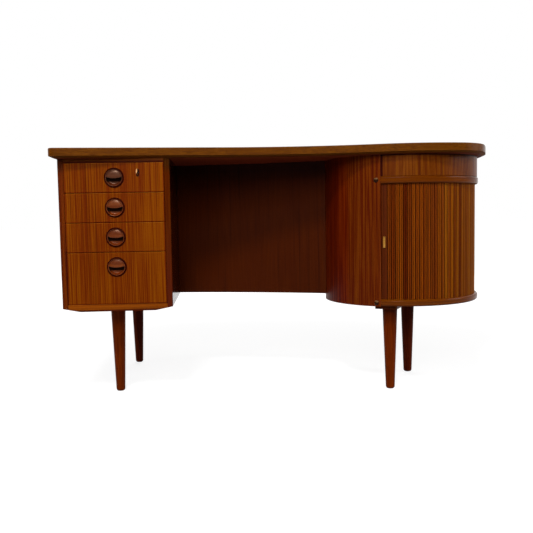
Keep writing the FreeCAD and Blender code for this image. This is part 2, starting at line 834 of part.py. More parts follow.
def drawer_lock():
    face = "pedestal_front - escutcheon_proud"
    plate = oval("lock_escutcheon", "escutcheon_thickness", face)
    eye = level_cylinder("keyhole", "keyhole_radius", "escutcheon_thickness", ("lock_x", face, "lock_z"))
    slot_size = ("keyhole_slot", "escutcheon_thickness", "keyhole_length")
    slot_corner = ("lock_x - keyhole_slot / 2", face, "lock_z - keyhole_length")
    slot = box("keyhole", slot_size, slot_corner)
    keep(cut("lock_escutcheon", plate, eye, slot), "lock_escutcheon")
    case_size = ("lock_width", "lock_thickness", "lock_height")
    case_y = "pedestal_front + front_thickness"
    case_corner = ("lock_x - lock_width / 2", case_y, "lock_top - lock_height")
    case = box("lock_case", case_size, case_corner)
    well_floor = "lock_top - bolt_length - bolt_clearance"
    well = box("bolt_well", (*BOLT_ROOM, "bolt_length + bolt_clearance"), (*BOLT_ROOM_CORNER, well_floor))
    keep(cut("lock_case", case, well), "lock_case")
    bolt_size = ("bolt_width", "bolt_thickness", "bolt_length")
    keep(box("lock_bolt", bolt_size, ("bolt_x", "bolt_y", "lock_top - bolt_length")), "lock_bolt")


# Curved back panel of the kneehole

def modesty_strip(name, near, far, lift):
    """A bent board between the pedestal and the round cabinet, trimmed to both."""
    height = f"underside - ({lift})"
    spot = ("modesty_apex_x", "modesty_centre_y", lift)
    outer = cylinder(f"{name}_outer", far, height, spot)
    hollow = cylinder(f"{name}_hollow", near, height, spot)
    bent = cut(name, outer, hollow)
    room_size = ("drum_x - pedestal_right", "desktop_back_y - pedestal_front", height)
    room = box(f"{name}_room", room_size, ("pedestal_right", "pedestal_front", lift))
    drum_spot = ("drum_x", "drum_y", lift)
    drum = cylinder(f"{name}_drum", "panel_radius + glue_gap", height, drum_spot)
    keep(cut(name, common(name, bent, room), drum), name)


def modesty_panel():
    outer = "modesty_radius + modesty_thickness"
    modesty_strip("modesty_panel", "modesty_radius", outer, "modesty_lift")
    modesty_strip("modesty_cleat", outer, f"{outer} + cleat_width", "underside - cleat_height")


# Round cabinet

def stile_bore(name, lift):
    radius = "shank_radius + shank_fit"
    depth = "shank_length + shank_fit"
    return radial_cylinder(name, radius, depth, f"panel_radius - ({depth})", lift, "stile_deg")


def drum_board(name, lift, thickness, track_up):
    """Round board with a beaded front, a track for the curtain and a notch for the front stile."""
    body = new_body(name)
    floor, face = (f"{thickness} - track_depth", thickness) if track_up else ("track_depth", "0")
    far = "0" if track_up else thickness

    def section(edge, outside):
        corners = [("0", far), (edge, far)]
        corners += [(edge, face), (outside, face), (outside, floor)] if outside else [(edge, floor)]
        corners += [("track_inner", floor), ("track_inner", face), ("0", face)]
        sketch = sketch_on(body, "XZ_Plane")
        polygon(sketch, corners)
        return sketch

    beaded = revolve(body, section("rail_radius", "track_outer"), "door_span")
    fillet(body, beaded, lambda edge: is_ring(edge, "rail_radius"), "rail_round")
    doc.recompute()
    revolve(body, section("panel_inner - glue_gap", None), "360 - door_span", backwards=True)
    place(body, "drum_x", "drum_y", lift, "stile_deg + stile_span / 2")
    notch = ring(f"{name}_notch", "panel_radius - stile_depth - glue_gap", "panel_radius + glue_gap",
                 thickness, lift, "(-stile_span / 2)", "stile_span")
    bore = stile_bore(f"{name}_bore", f"{lift} + {thickness} / 2")
    return cut(name, body, notch, bore)


def drum_boards():
    base = drum_board("drum_base", "drum_base_lift", "drum_base_thickness", True)
    bores = []
    for leg in ("right_front_leg", "right_back_leg"):
        spot = (f"{leg}_x", f"{leg}_y", "drum_base_lift")
        bores.append(cylinder("drum_leg_bore", "leg_bore", "leg_bore_depth", spot))
    keep(cut("drum_base", base, *bores), "drum_base")
    upper = drum_board("drum_upper_board", "upper_board_lift", "upper_board_thickness", False)
    keep(upper, "drum_upper_board")


def drum_walls():
    half = "stile_span / 2"
    height = "underside - panel_lift"
    frieze = ring("drum_frieze", "frieze_radius - frieze_thickness", "frieze_radius",
                  "frieze_height", "upper_board_top", half, "door_span")
    keep(frieze, "drum_frieze")
    panel = ring("drum_side_panel", "panel_inner", "panel_radius", height, "panel_lift",
                 f"{half} + door_span + back_stile_span", "360 - stile_span - door_span - back_stile_span")
    keep(panel, "drum_side_panel")
    back_stile = ring("drum_back_stile", "panel_inner", "panel_radius", height, "panel_lift",
                      f"{half} + door_span", "back_stile_span")
    keep(back_stile, "drum_back_stile")
    stile = ring("drum_front_stile", "panel_radius - stile_depth", "panel_radius", height, "panel_lift",
                 "(-stile_span / 2)", "stile_span")
    lower = stile_bore("stile_bore", "drum_base_middle")
    upper = stile_bore("stile_bore", "upper_board_middle")
    keep(cut("drum_front_stile", stile, lower, upper), "drum_front_stile")
    liner = ring("drum_liner", "liner_inner", "liner_radius",
                 "opening_height", "drum_base_top", "liner_start", "liner_span")
    keep(liner, "drum_liner")


def drum_shelf():
    radius = "liner_inner - shelf_gap"
    shelf = cylinder("drum_shelf", radius, "shelf_thickness", ("drum_x", "drum_y", "shelf_height"))
    keep(shelf, "drum_shelf")
    reach = "liner_inner - glue_gap - pin_length"
    lift = "shelf_height - pin_radius"
    pins = []
    for step in range(SHELF_PINS):
        share = (step + 0.5) / SHELF_PINS
        angle = f"(stile_deg + liner_start + liner_span * {share})"
        pins.append(radial_cylinder("shelf_pin", "pin_radius", "pin_length", reach, lift, angle))
    keep(group("shelf_pins", pins), "shelf_pins")


def drum_bolts():
    """Bolts through the front stile, each with a low domed head."""
    ball = "((dome_radius ^ 2 + dome_height ^ 2) / (2 * dome_height))"
    sunk = f"({ball} - dome_height)"
    bolts = []
    for lift in ("drum_base_middle", "upper_board_middle"):
        dome = helper("Part::Sphere", "bolt_dome")
        bind(dome, "Radius", ball)
        bind(dome, "Angle1", f"asin({sunk} / {ball})")
        place_radial(dome, f"panel_radius - {sunk}", lift, "stile_deg")
        reach = "panel_radius - shank_length"
        shank = radial_cylinder("bolt_shank", "shank_radius", "shank_length", reach, lift, "stile_deg")
        bolts.append(fuse("drum_bolt", [dome, shank]))
    keep(group("drum_bolts", bolts), "drum_bolts")


# Sliding curtain of reeded slats on canvas

def curtain_slats():
    """Each slat has two reeds side by side on its outer face."""
    half_angle = "((slat_pitch - slat_gap) / 2)"
    shoulder = "(curtain_radius - reed_crown)"
    body = new_body("curtain_slats")
    body.AllowCompound = True
    sketch = sketch_on(body, "XY_Plane")
    foot = f"(canvas_radius * tan({half_angle}))"
    half = f"({shoulder} * tan({half_angle}))"
    reed_radius = f"(({half} / 2) ^ 2 + reed_crown ^ 2) / (2 * reed_crown)"
    corners = (
        (shoulder, f"-{half}"),
        ("canvas_radius", f"-{foot}"),
        ("canvas_radius", foot),
        (shoulder, half),
    )
    points = [FreeCAD.Vector(value(x), value(y), 0) for x, y in corners]
    for start, end in zip(points, points[1:]):
        sketch.addGeometry(Part.LineSegment(start, end), False)
    valley = FreeCAD.Vector(value(shoulder), 0, 0)
    for start, end in ((points[0], valley), (valley, points[3])):
        tip = FreeCAD.Vector(value("curtain_radius"), (start.y + end.y) / 2, 0)
        sketch.addGeometry(Part.Arc(start, tip, end), False)
    for rule in ((0, 2, 1, 1), (1, 2, 2, 1), (2, 2, 4, 2), (4, 1, 3, 2), (3, 1, 0, 1)):
        sketch.addConstraint(Sketcher.Constraint("Coincident", *rule))
    for edge, corner in enumerate(corners[:3]):
        pin(sketch, edge, 1, *corner)
    pin(sketch, 2, 2, *corners[3])
    pin(sketch, 4, 1, shoulder, "0")
    for reed in (3, 4):
        set_radius(sketch, reed, reed_radius)
    slat = pad(body, sketch, "curtain_height")
    doc.recompute()
    pattern = body.newObject("PartDesign::PolarPattern", "curtain_slats_pattern")
    pattern.Originals = [slat]
    axis = next(item for item in body.Origin.OriginFeatures if item.Role == "Z_Axis")
    pattern.Axis = (axis, [""])
    bind(pattern, "Angle", "(slat_count - 1) * slat_pitch")
    bind(pattern, "Occurrences", "slat_count")
    body.Tip = pattern
    place(body, "drum_x", "drum_y", "curtain_lift", "stile_deg + lead_start + lead_span + slat_pitch / 2")
    keep(body, "curtain_slats")


def curtain_canvas():
    span = "lead_span + slat_count * slat_pitch"
    lift = "(drum_base_top + track_clearance)"
    canvas = ring("curtain_canvas", "canvas_radius - canvas_thickness", "canvas_radius",
                  f"upper_board_lift - track_clearance - {lift}", lift, "lead_start", span)
    keep(canvas, "curtain_canvas")


def curtain_lead():
    lead = ring("curtain_lead_stile", "canvas_radius", "curtain_radius", "curtain_height", "curtain_lift",
                "lead_start", "lead_span - slat_gap")
    keep(lead, "curtain_lead_stile")
    body = new_body("curtain_grip")
    sketch = sketch_on(body, "XY_Plane")
    polygon(sketch, (
        ("curtain_radius", "-grip_width / 2"),
        ("curtain_radius + grip_proud", "-grip_width / 2"),
        ("curtain_radius + grip_proud", "grip_width / 2"),
        ("curtain_radius", "grip_width / 2"),
    ))
    bar = pad(body, sketch, "grip_length")
    edge_x = value("curtain_radius + grip_proud")
    fillet(body, bar, lambda edge: abs(edge.CenterOfMass.x - edge_x) < 1e-4, "grip_round")
    turn = "stile_deg + lead_start + lead_span / 2"
    place(body, "drum_x", "drum_y", "grip_height - grip_length / 2", turn)
    keep(body, "curtain_grip")


# Legs: the length of each and what lies between its top and the board that it bolts to

LEGS = {
    "left_front_leg": ("base_foot", "0"),
    "left_back_leg": ("base_foot", "0"),
    "right_front_leg": ("batten_foot", "batten_thickness"),
    "right_back_leg": ("batten_foot", "batten_thickness"),
}


def turned_leg(name):
    """Round tapered leg with a rounded tip and a bore for its bolt."""
    length = LEGS[name][0]
    bore_foot = f"({length} - leg_bolt_length - leg_bolt_fit)"
    body = new_body(name)
    sketch = sketch_on(body, "XZ_Plane")
    polygon(sketch, (
        ("0", "0"),
        ("leg_tip_radius", "0"),
        ("leg_top_radius", length),
        ("leg_bore", length),
        ("leg_bore", bore_foot),
        ("0", bore_foot),
    ))
    shaft = revolve(body, sketch)
    fillet(body, shaft, lambda edge: is_ring(edge, "leg_tip_radius", "0"), "leg_tip_round")
    place(body, f"{name}_x", f"{name}_y", "0")
    keep(body, name)


def leg_bolts():
    bolts = []
    for leg, (length, packing) in LEGS.items():
        spot = (f"{leg}_x", f"{leg}_y", f"{length} - leg_bolt_length")
        reach = f"leg_bolt_length + {packing} + leg_bolt_bite"
        bolts.append(cylinder("leg_bolt", "leg_bolt_radius", reach, spot))
    keep(group("leg_bolts", bolts), "leg_bolts")


def leg_batten():
    """Strip under the round cabinet that carries both of its legs."""
    run = "(right_back_leg_x - right_front_leg_x)"
    rise = "(right_back_leg_y - right_front_leg_y)"
    distance = f"sqrt({run} ^ 2 + {rise} ^ 2)"
    lift = "batten_foot"
    x = f"right_front_leg_x - (batten_overrun * {run} - batten_width / 2 * {rise}) / {distance}"
    y = f"right_front_leg_y - (batten_overrun * {rise} + batten_width / 2 * {run}) / {distance}"
    length = f"{distance} + batten_overrun + batten_tail"
    strip = box("leg_batten", (length, "batten_width", "batten_thickness"), (x, y, lift))
    bind(strip, "Placement.Rotation.Angle", f"atan2({rise}; {run})")
    bores = []
    for leg in ("right_front_leg", "right_back_leg"):
        spot = (f"{leg}_x", f"{leg}_y", lift)
        bores.append(cylinder("batten_bore", "leg_bore", "batten_thickness", spot))
    keep(cut("leg_batten", strip, *bores), "leg_batten")


desktop_panel()
desktop_lipping()
pedestal_sides()
pedestal_base()
pedestal_back()
pedestal_rails()
drawer_runners()
for drawer in DRAWERS:
    drawer_front(drawer)
    drawer_side(drawer, "left", 1)
    drawer_side(drawer, "right", -1)
    drawer_box(drawer)
    drawer_pull(drawer)
drawer_lock()
modesty_panel()
drum_boards()
drum_walls()
drum_shelf()
drum_bolts()
curtain_slats()
curtain_canvas()
curtain_lead()
for leg_name in LEGS:
    turned_leg(leg_name)
leg_bolts()
leg_batten()
doc.recompute()

# Every object has to be sound before anything is written

for item in doc.Objects:
    if "Invalid" in item.State or "Error" in item.State:
        raise ValueError(f"{item.Name} failed: {item.State}")
for piece in parts:
    if piece.Shape.isNull() or not piece.Shape.isValid():
        raise ValueError(f"{piece.Label} has no valid shape")

os.makedirs("parts", exist_ok=True)
for piece in parts:
    piece.Shape.exportStep(f"parts/{piece.Label}.step")
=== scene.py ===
import json
import math

import bmesh
import bpy
from mathutils import Matrix, Vector


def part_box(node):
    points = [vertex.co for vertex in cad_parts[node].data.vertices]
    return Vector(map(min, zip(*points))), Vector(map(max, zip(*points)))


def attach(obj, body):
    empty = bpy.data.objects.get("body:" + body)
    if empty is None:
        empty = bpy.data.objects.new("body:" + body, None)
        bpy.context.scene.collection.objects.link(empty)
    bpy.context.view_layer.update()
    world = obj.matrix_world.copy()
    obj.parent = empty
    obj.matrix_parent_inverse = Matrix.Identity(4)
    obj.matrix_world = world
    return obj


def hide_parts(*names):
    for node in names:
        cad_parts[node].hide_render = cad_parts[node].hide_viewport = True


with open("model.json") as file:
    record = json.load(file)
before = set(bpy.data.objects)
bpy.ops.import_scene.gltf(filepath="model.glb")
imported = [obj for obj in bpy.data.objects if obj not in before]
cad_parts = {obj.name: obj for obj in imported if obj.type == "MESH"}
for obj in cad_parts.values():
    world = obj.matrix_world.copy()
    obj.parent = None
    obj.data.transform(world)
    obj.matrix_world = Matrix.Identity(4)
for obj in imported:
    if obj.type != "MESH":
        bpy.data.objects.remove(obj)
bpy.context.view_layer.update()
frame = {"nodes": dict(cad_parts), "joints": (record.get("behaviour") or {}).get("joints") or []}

# Kidney-shaped teak writing desk on a white studio floor. Lengths are in metres, in the desk's
# own frame: the origin on the floor under the desktop's middle, +Z up, the front facing -Y.

NODES = frame["nodes"]
CURTAIN_JOINT = next(joint for joint in frame["joints"] if joint["name"] == "curtain_turn")
DRUM_AXIS = Vector(CURTAIN_JOINT["pos_m"])
CURTAIN_RADIUS = DRUM_AXIS.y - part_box("curtain_slats")[0].y
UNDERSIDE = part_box("desktop_panel")[0].z
RAIL_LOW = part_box("pedestal_front_rail")[0].z
PEDESTAL_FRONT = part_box("pedestal_left_side")[0].y
BASE_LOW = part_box("pedestal_base")[0].z
FRIEZE_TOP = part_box("drum_frieze")[1].z
LEG_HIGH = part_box("left_front_leg")[1].z
DRAWERS = (1, 2, 3, 4)
DRAWER_BOXES = [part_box(f"drawer_{number}_front") for number in DRAWERS]
PULL_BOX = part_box("drawer_1_pull")
PULL_MIDDLE = (PULL_BOX[0] + PULL_BOX[1]) / 2
PULL_RADIUS = (PULL_BOX[1].x - PULL_BOX[0].x) / 2
PULL_PITCH = PULL_BOX[1].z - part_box("drawer_2_pull")[1].z


def drum_angle(corner):
    """Angle of a point about the round cabinet's axis."""
    return math.atan2(corner.y - DRUM_AXIS.y, corner.x - DRUM_AXIS.x)


# The frieze begins at the edge of the front stile.
STILE_EDGE = min(drum_angle(vertex.co) for vertex in NODES["drum_frieze"].data.vertices)


# Node graphs

# The sockets of a colour Mix node go by number, because their names repeat.
MIX_FACTOR = 0
MIX_FIRST = 6
MIX_SECOND = 7
MIX_RESULT = 2


class Graph:
    """A node tree with short calls that add nodes and join them."""

    def __init__(self, tree):
        self.tree = tree
        tree.nodes.clear()

    def add(self, kind, inputs=None, **settings):
        """Adds a node; each input is a fixed value or another node's output."""
        node = self.tree.nodes.new(f"ShaderNode{kind}")
        for name, setting in settings.items():
            setattr(node, name, setting)
        for socket, source in (inputs or {}).items():
            self.feed(node.inputs[socket], source)
        return node

    def feed(self, socket, source):
        """Sets an input to a fixed value, or joins it to another node's output."""
        if isinstance(source, bpy.types.NodeSocket):
            self.tree.links.new(source, socket)
        else:
            socket.default_value = source

    def math(self, operation, first, second=0.0):
        return self.add("Math", {0: first, 1: second}, operation=operation).outputs[0]

    def weighted(self, *parts):
        """Sum of sources, each times its share."""
        total = None
        for source, share in parts:
            part = self.math("MULTIPLY", source, share)
            total = part if total is None else self.math("ADD", total, part)
        return total

    def wrapped(self, source, width):
        """A measure that starts again every width, from minus half of it to plus half."""
        inputs = {0: source, 1: width / 2, 2: -width / 2}
        return self.add("Math", inputs, operation="WRAP").outputs[0]

    def split(self, vector):
        """The X, Y and Z of a vector."""
        return self.add("SeparateXYZ", {"Vector": vector}).outputs

    def noise(self, vector, scale, detail=2.0, roughness=0.5, distortion=0.0):
        inputs = {"Vector": vector, "Scale": scale, "Detail": detail}
        inputs.update({"Roughness": roughness, "Distortion": distortion})
        return self.add("TexNoise", inputs).outputs[0]

    def stretched(self, vector, scale, place=(0.0, 0.0, 0.0)):
        """Scales a vector and then moves it."""
        inputs = {"Vector": vector, "Scale": scale, "Location": place}
        return self.add("Mapping", inputs).outputs[0]

    def ramp(self, factor, stops):
        """Turns a factor into a colour; each stop is a position and its colour."""
        node = self.add("ValToRGB", {"Fac": factor})
        elements = node.color_ramp.elements
        while len(elements) < len(stops):
            elements.new(0.5)
        for element, (position, colour) in zip(elements, stops):
            element.position = position
            element.color = (*colour, 1.0)
        return node.outputs[0]

    def mix(self, blend, factor, first, second):
        """Blends the second colour into the first."""
        node = self.add("Mix", data_type="RGBA", blend_type=blend)
        self.feed(node.inputs[MIX_FACTOR], factor)
        self.feed(node.inputs[MIX_FIRST], first)
        self.feed(node.inputs[MIX_SECOND], second)
        return node.outputs[MIX_RESULT]

    def span(self, source, low, high, new_low=0.0, new_high=1.0):
        """Maps one range to another and holds still beyond its ends."""
        inputs = {"Value": source, "From Min": low, "From Max": high}
        inputs.update({"To Min": new_low, "To Max": new_high})
        return self.add("MapRange", inputs).outputs[0]


def material_graph(name):
    material = bpy.data.materials.new(name)
    material.use_nodes = True
    return material, Graph(material.node_tree)


def finish_material(graph, inputs, bump=None, bump_strength=0.2, bump_depth=0.0002):
    """Joins a principled shader, with an optional bump, to the output."""
    shader = graph.add("BsdfPrincipled", inputs)
    if bump is not None:
        relief = {"Height": bump, "Strength": bump_strength, "Distance": bump_depth}
        graph.feed(shader.inputs["Normal"], graph.add("Bump", relief).outputs[0])
    graph.add("OutputMaterial", {"Surface": shader.outputs[0]})


# Coordinates and colour changes that the materials share

UNTINTED = (1, 1, 1)


def flat_coordinates(graph):
    """The desk's own frame, in metres; on a moving piece it moves with the piece."""
    return graph.add("TexCoord").outputs["Object"]


def drum_coordinates(graph):
    """Unrolls the round cabinet: arc length, distance from the axis, height; also angle and easting."""
    place = graph.split(flat_coordinates(graph))
    east = graph.math("SUBTRACT", place["X"], DRUM_AXIS.x)
    north = graph.math("SUBTRACT", place["Y"], DRUM_AXIS.y)
    turn = graph.math("ARCTAN2", north, east)
    arc = graph.math("MULTIPLY", turn, CURTAIN_RADIUS)
    east_squared = graph.math("MULTIPLY", east, east)
    north_squared = graph.math("MULTIPLY", north, north)
    reach = graph.math("SQRT", graph.math("ADD", east_squared, north_squared))
    unrolled = graph.add("CombineXYZ", {"X": arc, "Y": reach, "Z": place["Z"]})
    return unrolled.outputs[0], turn, east


def facing_up(graph):
    """How far a face looks up: 1 for straight up, -1 for straight down."""
    return graph.split(graph.add("NewGeometry").outputs["Normal"])["Z"]


def tinted(graph, colour, share, low_gain, high_gain):
    """Multiplies a colour by a gain that goes from one to the other as the share goes from 0 to 1."""
    gain = graph.ramp(share, ((0.0, low_gain), (1.0, high_gain)))
    return graph.mix("MULTIPLY", 1.0, colour, gain)


def drifted(graph, colour, measures, tone_steps):
    """Lets a colour drift along measures such as the height, by the tone steps further down."""
    for measure, low, high, low_gain, high_gain in tone_steps:
        share = graph.span(measures[measure], low, high)
        colour = tinted(graph, colour, share, low_gain, high_gain)
    return colour


def toned(graph, figure, tones, reach):
    """Gives a figure its dark, middle and pale tones, at equal steps about 0.5."""
    places = (0.5 - reach, 0.5, 0.5 + reach)
    return graph.ramp(figure, tuple(zip(places, tones)))


# Grain: noise drawn out along one axis, with scales in waves per metre across the grain

GRAIN_STRETCH = 0.011
PORE_STRETCH = 0.09
SEED_SPREAD = (1.0, 0.7, 1.3)
BAND_SCALE = 24.0
BAND_BEND = 0.2
STREAK_SCALE = 260.0
VEIN_SCALE = 150.0
VEIN_RANGE = (0.6, 0.68)
FIBRE_SCALE = 520.0
PORE_SCALE = 1500.0
PORE_RANGE = (0.6, 0.72)
NOISE_ROUGHNESS = 0.6

# Most values of a noise lie in this range.
USUAL_NOISE = (0.3, 0.7)


def grain_along(axis, share):
    """Scale that draws a pattern out along one axis."""
    return tuple(share if letter == axis else 1.0 for letter in "XYZ")


class Grain:
    """Layers of grain along one axis, each added to the graph when it is asked for."""

    def __init__(self, graph, vector, axis, seed):
        place = tuple(seed * share for share in SEED_SPREAD)
        self.graph = graph
        self.drawn = graph.stretched(vector, grain_along(axis, GRAIN_STRETCH), place)
        self.porous = graph.stretched(vector, grain_along(axis, PORE_STRETCH), (seed, seed, seed))

    def bands(self):
        return self.graph.noise(self.drawn, BAND_SCALE, distortion=BAND_BEND)

    def streaks(self):
        return self.graph.noise(self.drawn, STREAK_SCALE, roughness=NOISE_ROUGHNESS)

    def veins(self):
        return self.graph.span(self.graph.noise(self.drawn, VEIN_SCALE, detail=1.0), *VEIN_RANGE)

    def fibres(self):
        return self.graph.noise(self.drawn, FIBRE_SCALE, roughness=NOISE_ROUGHNESS)

    def pores(self):
        return self.graph.span(self.graph.noise(self.porous, PORE_SCALE, detail=1.0), *PORE_RANGE)


LEAF_WIDTH = 0.24
ARCH_ROUND = 0.02
RINGS_ACROSS = 60.0
RINGS_ALONG = 5.0
RING_FALL = 4.0
WAVER_STRETCH = 0.15
WAVER_SCALE = 9.0
WAVER_REACH = 0.09


def cathedral(graph, vector, axis, seed):
    """Growth rings of crown-cut veneer: long nested arches, side by side in leaves."""
    place = graph.split(vector)
    across = place["Y" if axis == "X" else "X"]
    drawn = graph.stretched(vector, grain_along(axis, WAVER_STRETCH), (seed, seed, seed))
    sway = graph.math("SUBTRACT", graph.noise(drawn, WAVER_SCALE), 0.5)
    waver = graph.math("MULTIPLY", sway, WAVER_REACH)
    moved = graph.math("ADD", graph.math("ADD", across, seed), waver)
    leaf = graph.wrapped(moved, LEAF_WIDTH)
    leaf_squared = graph.math("MULTIPLY", leaf, leaf)
    bow = graph.math("SQRT", graph.math("ADD", leaf_squared, ARCH_ROUND ** 2))
    count = graph.weighted((bow, RINGS_ACROSS), (place[axis], RINGS_ALONG))
    ring = graph.math("FRACT", count)
    fall = graph.math("MULTIPLY", graph.math("SUBTRACT", 1.0, ring), RING_FALL)
    return graph.math("SMOOTH_MIN", ring, fall)


# Teak

BAND_SHARE = 0.2
STREAK_SHARE = 0.5
FIBRE_SHARE = 0.3
TONE_REACH = 0.13
VEIN_SHADE = 0.55
PORE_SHADE = 0.35
STAIN_COVER = 0.5
ROUGH_SWING = 0.06
DOWNWARD = (-0.8, -0.5)
UNPOLISHED_ROUGH = 0.75
# Drawer fronts: widths of the painted shade from the gaps along their sides and bottoms and of the
# painted highlight along their tops, and the gains of both
SIDE_GAP_SHADE_WIDTH = 0.002
BOTTOM_GAP_SHADE_WIDTH = 0.0018
TOP_HIGHLIGHT_WIDTH = 0.0015
TOP_HIGHLIGHT_DROP = 0.0004
TOP_HIGHLIGHT_GAIN = (1.5, 1.9, 14.0)
GAP_SHADE_GAIN = (0.6, 0.22, 0.3)


def lines_at(graph, measure, places, width):
    """Mask of thin lines at some heights or widths."""
    mask = None
    for place in places:
        away = graph.math("ABSOLUTE", graph.math("SUBTRACT", measure, place))
        line = graph.span(away, width / 2, width, 1.0, 0.0)
        mask = line if mask is None else graph.math("MAXIMUM", mask, line)
    return mask


def painted_drawer_edge_light(graph, colour, beside, height):
    """Painted light on the drawer fronts: a painted highlight along each top edge, and painted shade
    from the gaps along their other edges.
    """
    low, high = DRAWER_BOXES[0]
    sides = lines_at(graph, beside, (low.x, high.x), SIDE_GAP_SHADE_WIDTH)
    bottoms = lines_at(graph, height, [box[0].z for box in DRAWER_BOXES], BOTTOM_GAP_SHADE_WIDTH)
    tops = lines_at(graph, height, [box[1].z - TOP_HIGHLIGHT_DROP for box in DRAWER_BOXES], TOP_HIGHLIGHT_WIDTH)
    for mask, gain in ((tops, TOP_HIGHLIGHT_GAIN), (sides, GAP_SHADE_GAIN), (bottoms, GAP_SHADE_GAIN)):
        colour = tinted(graph, colour, mask, UNTINTED, gain)
    return colour


def unpolished(graph):
    """Roughness of faces that look down, which are left without polish; none on the others."""
    return graph.span(facing_up(graph), *DOWNWARD, UNPOLISHED_ROUGH, 0.0)


def teak(name, tones, axis="Z", seed=0.0, arches=0.0, gloss=0.045, rough=0.42, swing=1.0,
         round_cabinet=False, tone_steps=(), painted_edge_light=False):
    """Oiled teak with grain along one axis; tones run from the dark streaks to the pale ones.

    Arches is the share of crown-cut figure, and a larger swing sets the streaks off more.
    """
    material, graph = material_graph(name)
    vector = flat_coordinates(graph)
    place = graph.split(vector)
    measures = {"depth": place["Y"], "height": place["Z"]}
    if round_cabinet:
        vector, measures["turn"], measures["east"] = drum_coordinates(graph)
    grain = Grain(graph, vector, axis, seed)
    streak = grain.streaks()
    fibre = grain.fibres()
    pore = grain.pores()
    figure = graph.weighted((grain.bands(), BAND_SHARE), (streak, STREAK_SHARE), (fibre, FIBRE_SHARE))
    if arches:
        rings = cathedral(graph, vector, axis, seed)
        figure = graph.weighted((figure, 1.0 - arches), (rings, arches))
    colour = toned(graph, figure, tones, TONE_REACH / swing)
    for mask, shade in ((grain.veins(), VEIN_SHADE), (pore, PORE_SHADE)):
        stain = [shade * channel for channel in tones[0]]
        colour = graph.mix("MIX", graph.math("MULTIPLY", mask, STAIN_COVER), colour, (*stain, 1.0))
    colour = drifted(graph, colour, measures, tone_steps)
    # The drawer fronts get painted highlights along their tops and painted gap shade along their other
    # edges
    if painted_edge_light:
        colour = painted_drawer_edge_light(graph, colour, place["X"], place["Z"])
    roughness = graph.span(streak, *USUAL_NOISE, rough + ROUGH_SWING, rough - ROUGH_SWING)
    roughness = graph.math("MAXIMUM", roughness, unpolished(graph))
    inputs = {"Base Color": colour, "Roughness": roughness, "Specular IOR Level": gloss}
    finish_material(graph, inputs, graph.math("SUBTRACT", fibre, pore))
    return material


# Teak of the curtain's slats; each span gives the ends of a measure, then the gains at those ends

SLAT_PITCH = math.radians(2.85)
SLAT_START = math.radians(-113.45)
REEDS_PER_SLAT = 2.0
SLAT_SEED = 2.9
SLAT_SHARE = 0.4
NEIGHBOUR_SHARE = 0.4
REED_SHARE = 0.2
NEIGHBOUR_SCALE = 14.0
SLAT_TONES = (
    (0.25, (0.09, 0.014, 0.0006)),
    (0.4, (0.14, 0.027, 0.0012)),
    (0.52, (0.17, 0.042, 0.0025)),
    (0.63, (0.225, 0.055, 0.0012)),
    (0.78, (0.23, 0.075, 0.003)),
)
# Of the tone steps, the first is painted shade, darker towards the curtain's left; the second makes the
# slats greener towards the right
SLAT_STEPS = (
    ("east", 0.2 * CURTAIN_RADIUS, 0.6 * CURTAIN_RADIUS, (0.71, 0.56, 0.6), UNTINTED),
    ("east", 0.3 * CURTAIN_RADIUS, CURTAIN_RADIUS, UNTINTED, (0.98, 1.18, 0.6)),
)
FLECK_SPAN = (0.75, 1.25, 0.8, 1.2)
# Painted shade: darker in the grooves between the reeds and at the joints between the slats, a little
# lighter between them
GROOVE_SHADE_SPAN = (CURTAIN_RADIUS - 0.0014, CURTAIN_RADIUS - 0.0003, 0.1, 1.1)
SLAT_JOINT_SHADE_SPAN = (0.34, 0.47, 1.12, 0.25)
SLAT_ROUGH = (0.48, 0.38)
SLAT_GLOSS = 0.02


def chance(graph, count):
    """A random share for each whole number of a count."""
    number = graph.math("FLOOR", count)
    return graph.add("TexWhiteNoise", {"W": number}, noise_dimensions="1D").outputs[0]


def slat_teak(name):
    """Reeded slats, each cut from its own strip of teak, with painted shade in the grooves and at the
    joints between the slats.
    """
    material, graph = material_graph(name)
    vector, turn, east = drum_coordinates(graph)
    grain = Grain(graph, vector, "Z", SLAT_SEED)
    streak = grain.streaks()
    fibre = grain.fibres()
    count = graph.math("DIVIDE", graph.math("SUBTRACT", turn, SLAT_START), SLAT_PITCH)
    slat_pick = chance(graph, count)
    reed_pick = chance(graph, graph.math("MULTIPLY", count, REEDS_PER_SLAT))
    drawn = graph.stretched(vector, grain_along("Z", GRAIN_STRETCH))
    neighbours = graph.noise(drawn, NEIGHBOUR_SCALE, detail=1.0)
    choice = graph.weighted((slat_pick, SLAT_SHARE), (neighbours, NEIGHBOUR_SHARE),
                            (reed_pick, REED_SHARE))
    colour = graph.ramp(choice, SLAT_TONES)
    fleck_and_shade = graph.span(graph.math("ADD", streak, fibre), *FLECK_SPAN)
    # Painted shade in the grooves and at the joints between the slats
    fleck_and_shade = graph.math("MULTIPLY", fleck_and_shade, graph.span(graph.split(vector)["Y"], *GROOVE_SHADE_SPAN))
    aside = graph.math("ABSOLUTE", graph.math("SUBTRACT", graph.math("FRACT", count), 0.5))
    fleck_and_shade = graph.math("MULTIPLY", fleck_and_shade, graph.span(aside, *SLAT_JOINT_SHADE_SPAN))
    shade = graph.add("CombineColor", {"Red": fleck_and_shade, "Green": fleck_and_shade, "Blue": fleck_and_shade}).outputs[0]
    colour = graph.mix("MULTIPLY", 1.0, colour, shade)
    colour = drifted(graph, colour, {"east": east}, SLAT_STEPS)
    roughness = graph.span(streak, *USUAL_NOISE, *SLAT_ROUGH)
    inputs = {"Base Color": colour, "Roughness": roughness, "Specular IOR Level": SLAT_GLOSS}
    finish_material(graph, inputs, graph.math("SUBTRACT", fibre, grain.pores()))
    return material


# Teak of the turned pulls; depths count from their front, the hollow's heights from each middle

